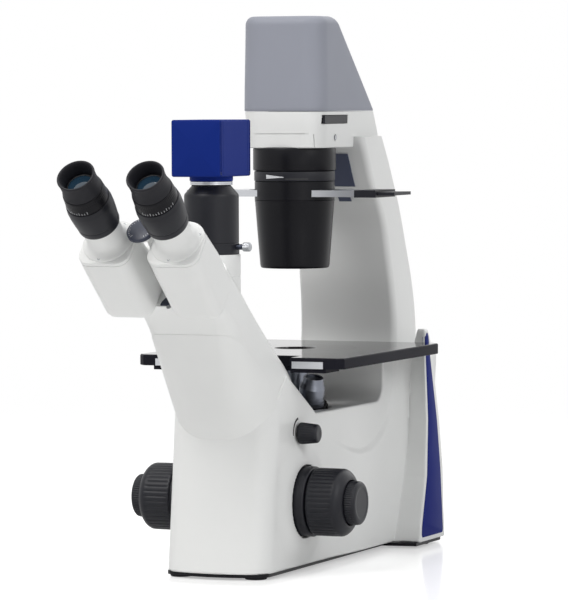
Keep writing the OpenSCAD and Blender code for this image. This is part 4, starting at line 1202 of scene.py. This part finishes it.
# A profile with points at most about a step apart, so that ribs can bend it.
def denser(profile, step):
    out = [profile[0]]
    for a, b in zip(profile[:-1], profile[1:]):
        k = max(1, int(np.linalg.norm(b - a) / step))
        out += [a + (b - a) * i / k for i in range(1, k + 1)]
    return np.array(out)


# Grooves of a knob: depth * (1 - soft rib) ** power, between two heights.
def grooves(depth, count, soft, power, first, last, fade):
    return lambda a, h: -depth * (1 - bump(a, count, soft)) ** power * within(h, first, last, fade)


def buildKnobs():
    t = focusTable
    put = lambda rows: axisX(rows, t["torqueX"], *focusAt)
    turnedPiece("torqueRing", put, t["torque"], 128, "black_plastic", "torque", "torque_ring")
    coarseRows = turned(denser(t["coarse"], 1.6), 320, grooves(0.55, 40, 0.6, 2.2, 1.6, 25.4, 1.4))
    fineRows = turned(denser(t["fine"], 1.2), 336, grooves(0.42, 56, 0.8, 2, 1.6, 14.6, 0.8))
    coarse = [tube(axisX(coarseRows, t["coarseX"], *focusAt, side), ring=True) for side in (1, -1)]
    fine = [tube(axisX(fineRows, t["fineX"], *focusAt, side)) for side in (1, -1)]
    coarse.append(tube(axisX(turned(t["sleeve"], 96), t["sleeveX"], *focusAt, -1), ring=True))
    addPiece("coarseKnobs", *joined(coarse), "black_plastic", "coarse", "coarse_knobs", sharp=45)
    addPiece("fineKnobs", *joined(fine), "black_plastic", "fine", "fine_knobs", sharp=45)
    rows = turned(denser(t["dimmer"], 1.2), 192, grooves(0.3, 24, 0.7, 2, 1.4, 16.0, 1.2))
    dimmer = tube(axisX(rows, t["dimmerX"], *dimmerAt))
    addPiece("dimmerKnob", *dimmer, "black_plastic", "dimmer", "intensity_knob", sharp=45)
    # Crescent beside the knob: widening mark from low to high light.
    n = 40
    a = np.radians(np.linspace(98, 186, n))
    wide = 0.2 + 1.7 * np.linspace(1, 0, n) ** 1.4
    arc = lambda r: np.column_stack([r * np.cos(a), r * np.sin(a)])
    edge = np.concatenate([arc(12.4), arc(12.4 + wide)[::-1]])
    band = np.array([level(edge, h) for h in (-1.0, 0.12)])
    points = along(band, (51.25, *dimmerAt), (0, 1, 0), (0, 0, 1), (1, 0, 0)).reshape(-1, 3)
    m = 2 * n
    top = [(m + k, m + k + 1, 2 * m - 2 - k, 2 * m - 1 - k) for k in range(n - 1)]
    rim = [(k, (k + 1) % m, m + (k + 1) % m, m + k) for k in range(m)]
    low = [(k + 1, k, m - 1 - k, m - 2 - k) for k in range(n - 1)]
    fixFaces(addPiece("lightMark", points, top + rim + low, "mark_black", "stand"))


# Profiles are (height, radius) about the light axis.
lampTable = {
    "mount": loop(
        (358.7, 13.6), (358.6, 37.4), (358.9, 38.1), (359.6, 38.4), (378.4, 38.4), (379.1, 38.1),
        (379.4, 37.4), (379.4, 16.7), (391, 16.7), (391, 13.6),
    ),
    "ring": loop(
        (348.9, 24.2), (348.8, 36.6), (349.2, 37.2), (350.0, 37.4), (357.0, 37.4), (357.8, 37.2),
        (358.2, 36.6), (358.2, 24.2),
    ),
    "cone": loop(
        (331.4, 20), (331.45, 36.5), (331.0, 36.9), (330.2, 36.9), (329.8, 36.7), (300, 34.4),
        (272, 32.15), (270.2, 31.9), (269.0, 31.2), (268.55, 30.2), (268.5, 26.2), (272.3, 26.2),
        (272.5, 28), (325.5, 28), (325.5, 20),
    ),
    # name, finish, angles, heights of the lower edge, heights of the upper edge
    "bands": (
        ("openingWedge", "mark_white", (248.5, 277), (351.4, 352.6), (355.2, 353.1)),
        # The lever slot is not cut: this dark band is painted shade for the hollow of the slot.
        ("leverSlot", "mark_black", (279, 312), (350.6, 350.6), (351.8, 351.8)),
    ),
    "bandRadius": 37.4,
}


def buildCondenser():
    t = lampTable
    here = lambda rows: rows
    for name, profile, count, slot, body, node, sharp in (
        ("condenserMountShell", "mount", 128, "black_metal", "stand", "condenser_mount", 38),
        ("apertureRing", "ring", 144, "black_plastic", "aperture", "aperture_ring", 40),
        ("condenserConeShell", "cone", 128, "black_metal", "stand", "condenser_cone", 38),
    ):
        turnedPiece(name, here, t[profile], count, slot, body, node, sharp=sharp)
    # Opening wedge on the ring, and beside it a dark band of painted shade standing in for the slot of
    # its lever: bands between two heights.
    r = t["bandRadius"]
    for name, slot, angles, low, high in t["bands"]:
        a = np.radians(np.linspace(*angles, 30))
        lo, hi = np.linspace(*low, 30), np.linspace(*high, 30)
        at = lambda grow, z: np.column_stack([(r + grow) * np.cos(a), (r + grow) * np.sin(a), z])
        rows = np.array([at(-0.2, lo), at(0.1, lo), at(0.1, hi), at(-0.2, hi)]).transpose(1, 0, 2)
        addPiece(name, *tube(rows), slot, "aperture")


photoTable = {
    "at": -192.0,
    "tube": loop(
        (212, 19.1), (212, 25.5), (268, 25.5), (268.3, 25.2), (268.8, 25.2), (269.1, 25.5),
        (287.2, 25.5), (287.7, 25.3), (287.9, 24.9), (287.9, 19.1),
    ),
    "adapter": loop(
        (280, 15.1), (280, 18.8), (288.05, 18.8), (288.05, 24.1), (288.4, 24.45), (297.2, 24.5),
        (297.5, 24.3), (297.6, 23.9), (298.0, 23.9), (298.2, 24.2), (318, 24.2), (338.6, 24.2),
        (340.4, 24.05), (341.4, 23.5), (348.2, 17.6), (348.9, 17.2), (348.95, 12.1), (308, 12.1),
        (308, 15.1),
    ),
    "mount": loop(
        (344.2, 9.1), (344.2, 11.9), (349.05, 11.9), (349.05, 18.2), (349.4, 18.7), (350.3, 18.7),
        (350.5, 18.45), (350.8, 18.45), (351.0, 18.75), (352.0, 18.75), (352.35, 18.4), (352.35, 9.1),
    ),
    "collar": loop(
        (352.5, 9.1), (352.5, 18.6), (352.9, 19.1), (353.4, 19.2), (356.0, 19.2), (356.9, 19.2),
        (356.9, 9.1),
    ),
    # Camera: width, depth, bottom and top, and the insets of its section from the front on.
    "camera": (46.5, 69.5, 356.6, 406.6),
    "insets": (
        (0, 1.5), (0.12, 1.0), (0.45, 0.45), (0.9, 0.12), (1.4, 0), (2.2, 0), (2.25, 0.9), (3.9, 0.9),
        (3.95, 0), (7.5, 0), (7.55, 0.4), (7.95, 0.4), (8.0, 0), (20, 0), (34.75, 0),
    ),
    "neck": loop((-8, 0.02), (-8, 1.6), (0.1, 1.6), (0.2, 2.5), (6.5, 2.5), (6.6, 0.02)),
    "head": loop(
        (6.4, 0.02), (6.4, 3.3), (6.8, 3.8), (7.6, 3.95), (12.0, 3.95), (12.8, 3.8), (13.2, 3.3),
        (13.3, 0.02),
    ),
    "screwAt": (24.0, -192.0, 294.6),
}


def buildPhoto():
    t = photoTable
    y0 = t["at"]
    put = lambda rows: along(rows, (0, y0, 0), *upright)
    turnedPiece("photoTube", put, t["tube"], 96, "white_shell", "stand", "photo_tube", sharp=38)
    node = "camera_adapter"
    turnedPiece("cameraAdapter", put, t["adapter"], 112, "black_plastic", "stand", node, sharp=34)
    knurl = lambda a, h: -0.12 * bump(a, 90, 1.0) * within(h, 350.9, 352.1, 0.2)
    node = "camera_mount"
    turnedPiece("cameraMountRing", put, t["mount"], 180, "silver", "stand", node, ribs=knurl, sharp=38)
    # Rounded section swept front to back, with a joint behind the front plate and before the rear one.
    w, d, low, high = t["camera"]
    half = [(y - d / 2, inset) for y, inset in t["insets"]]
    body = []
    for y, inset in half + [(-y, i) for y, i in half[:-1][::-1]]:
        x, z = outline(w - 2 * inset, high - low - 2 * inset, 1.9, 1.9, 6, 2).T
        body.append(np.column_stack([x, np.full(len(x), y), z + (low + high) / 2]))
    parts = [tube(put(np.array(body))), tube(put(turned(t["collar"], 96)), ring=True)]
    addPiece("cameraBody", *joined(parts), "camera_blue", "stand", "camera_body", sharp=30)
    heads = []
    for x in (-19.6, 19.6):
        for z in (360.4, 402.8):
            place = (x, y0 + 34.6, z)
            heads.append(tube(along(hexScrew(1.5, 0.25), place, (1, 0, 0), (0, 0, -1), (0, 1, 0))))
    for y in (-31.2, 31.2):
        place = (23.1, y0 + y, 359.6)
        heads.append(tube(along(hexScrew(1.2, 0.15), place, (0, 1, 0), (0, 0, 1), (1, 0, 0))))
    addPiece("cameraScrews", *joined(heads), "dark_steel", "stand")
    # Clamping screw: neck and knurled head.
    knurl = lambda a, h: -0.3 * bump(a, 22, 1.0) * within(h, 7.2, 12.4, 0.4)
    put = lambda rows: axisX(rows, *t["screwAt"])
    body, node = "thumbscrew", "adapter_screw"
    turnedPiece("clampNeck", put, t["neck"], 32, "dark_steel", body, node, ring=False, sharp=38)
    turnedPiece("clampHead", put, t["head"], 132, "steel", body, ribs=knurl, ring=False, sharp=45)


stageOf = {
    "width": 200.0,
    "front": -133.0,
    "back": 117.0,
    "corner": 6.0,
    "notch": 49.7,
    "notchDepth": 25.0,
    "under": 184.0,
    "top": 194.0,
    "pocket": 56.1,
    "lightWay": 50.0,
}


# Plan of the stage: clipped corners, with the notch for the arm at its front.
def stagePlan(inset):
    o = stageOf
    w, n = o["width"] / 2 - inset, o["notch"] + inset
    y0, y1, c = o["front"] + inset, o["back"] - inset, o["corner"]
    deep = y0 + o["notchDepth"]
    p = [(n, y0), (w - c, y0), (w, y0 + c), (w, y1 - c), (w - c, y1)]
    p += [(-x, y) for x, y in p[::-1]]
    p += [(-n, deep), (n, deep)]
    start = [(n, (y0 + deep) / 2)]
    return softLine(start + p + start, 0.8, 4)[:-1]


# Satin body with a polished top sheet, both cut for the insert and the light way.
def buildStage():
    o = stageOf
    low, top = o["under"], o["top"]
    cutters = {
        "pocket": tube(turned(loop((top - 3.0, o["pocket"]), (top + 9, o["pocket"])), 128)),
        "lightWay": tube(turned(loop((low - 9, o["lightWay"]), (top + 9, o["lightWay"])), 128)),
    }
    body = ((low, 0.6), (low + 0.5, 0.0), (top - 1.1, 0.0), (top - 0.4, 0.5))
    sheet = ((top - 0.45, 0.55), (top - 0.12, 0.6), (top, 0.85))
    for name, slot, levels, node in (
        ("stageBody", "stage_edge", body, ["stage_plate"]),
        ("stageSheet", "stage_coat", sheet, []),
    ):
        rows = np.array([level(stagePlan(inset), z) for z, inset in levels])
        m, n = rows.shape[:2]
        points, faces = tube(rows, (False, False))
        faces = list(faces) + [tuple(range(n))[::-1], tuple(range((m - 1) * n, m * n))]
        obj = addPiece(name, points, faces, slot, "stand", *node, sharp=12)
        fixFaces(obj)
        cutBy(obj, cutters, 12)


for build in (buildStand, buildArm, buildColumn, buildLampHead, buildHousings):
    build()
print("stage: arm, column, lamp head and prism housings")
for build in (buildStage, buildPanels, buildEyes, buildKnobs, buildCondenser, buildPhoto):
    build()
print("stage: turned and small parts")
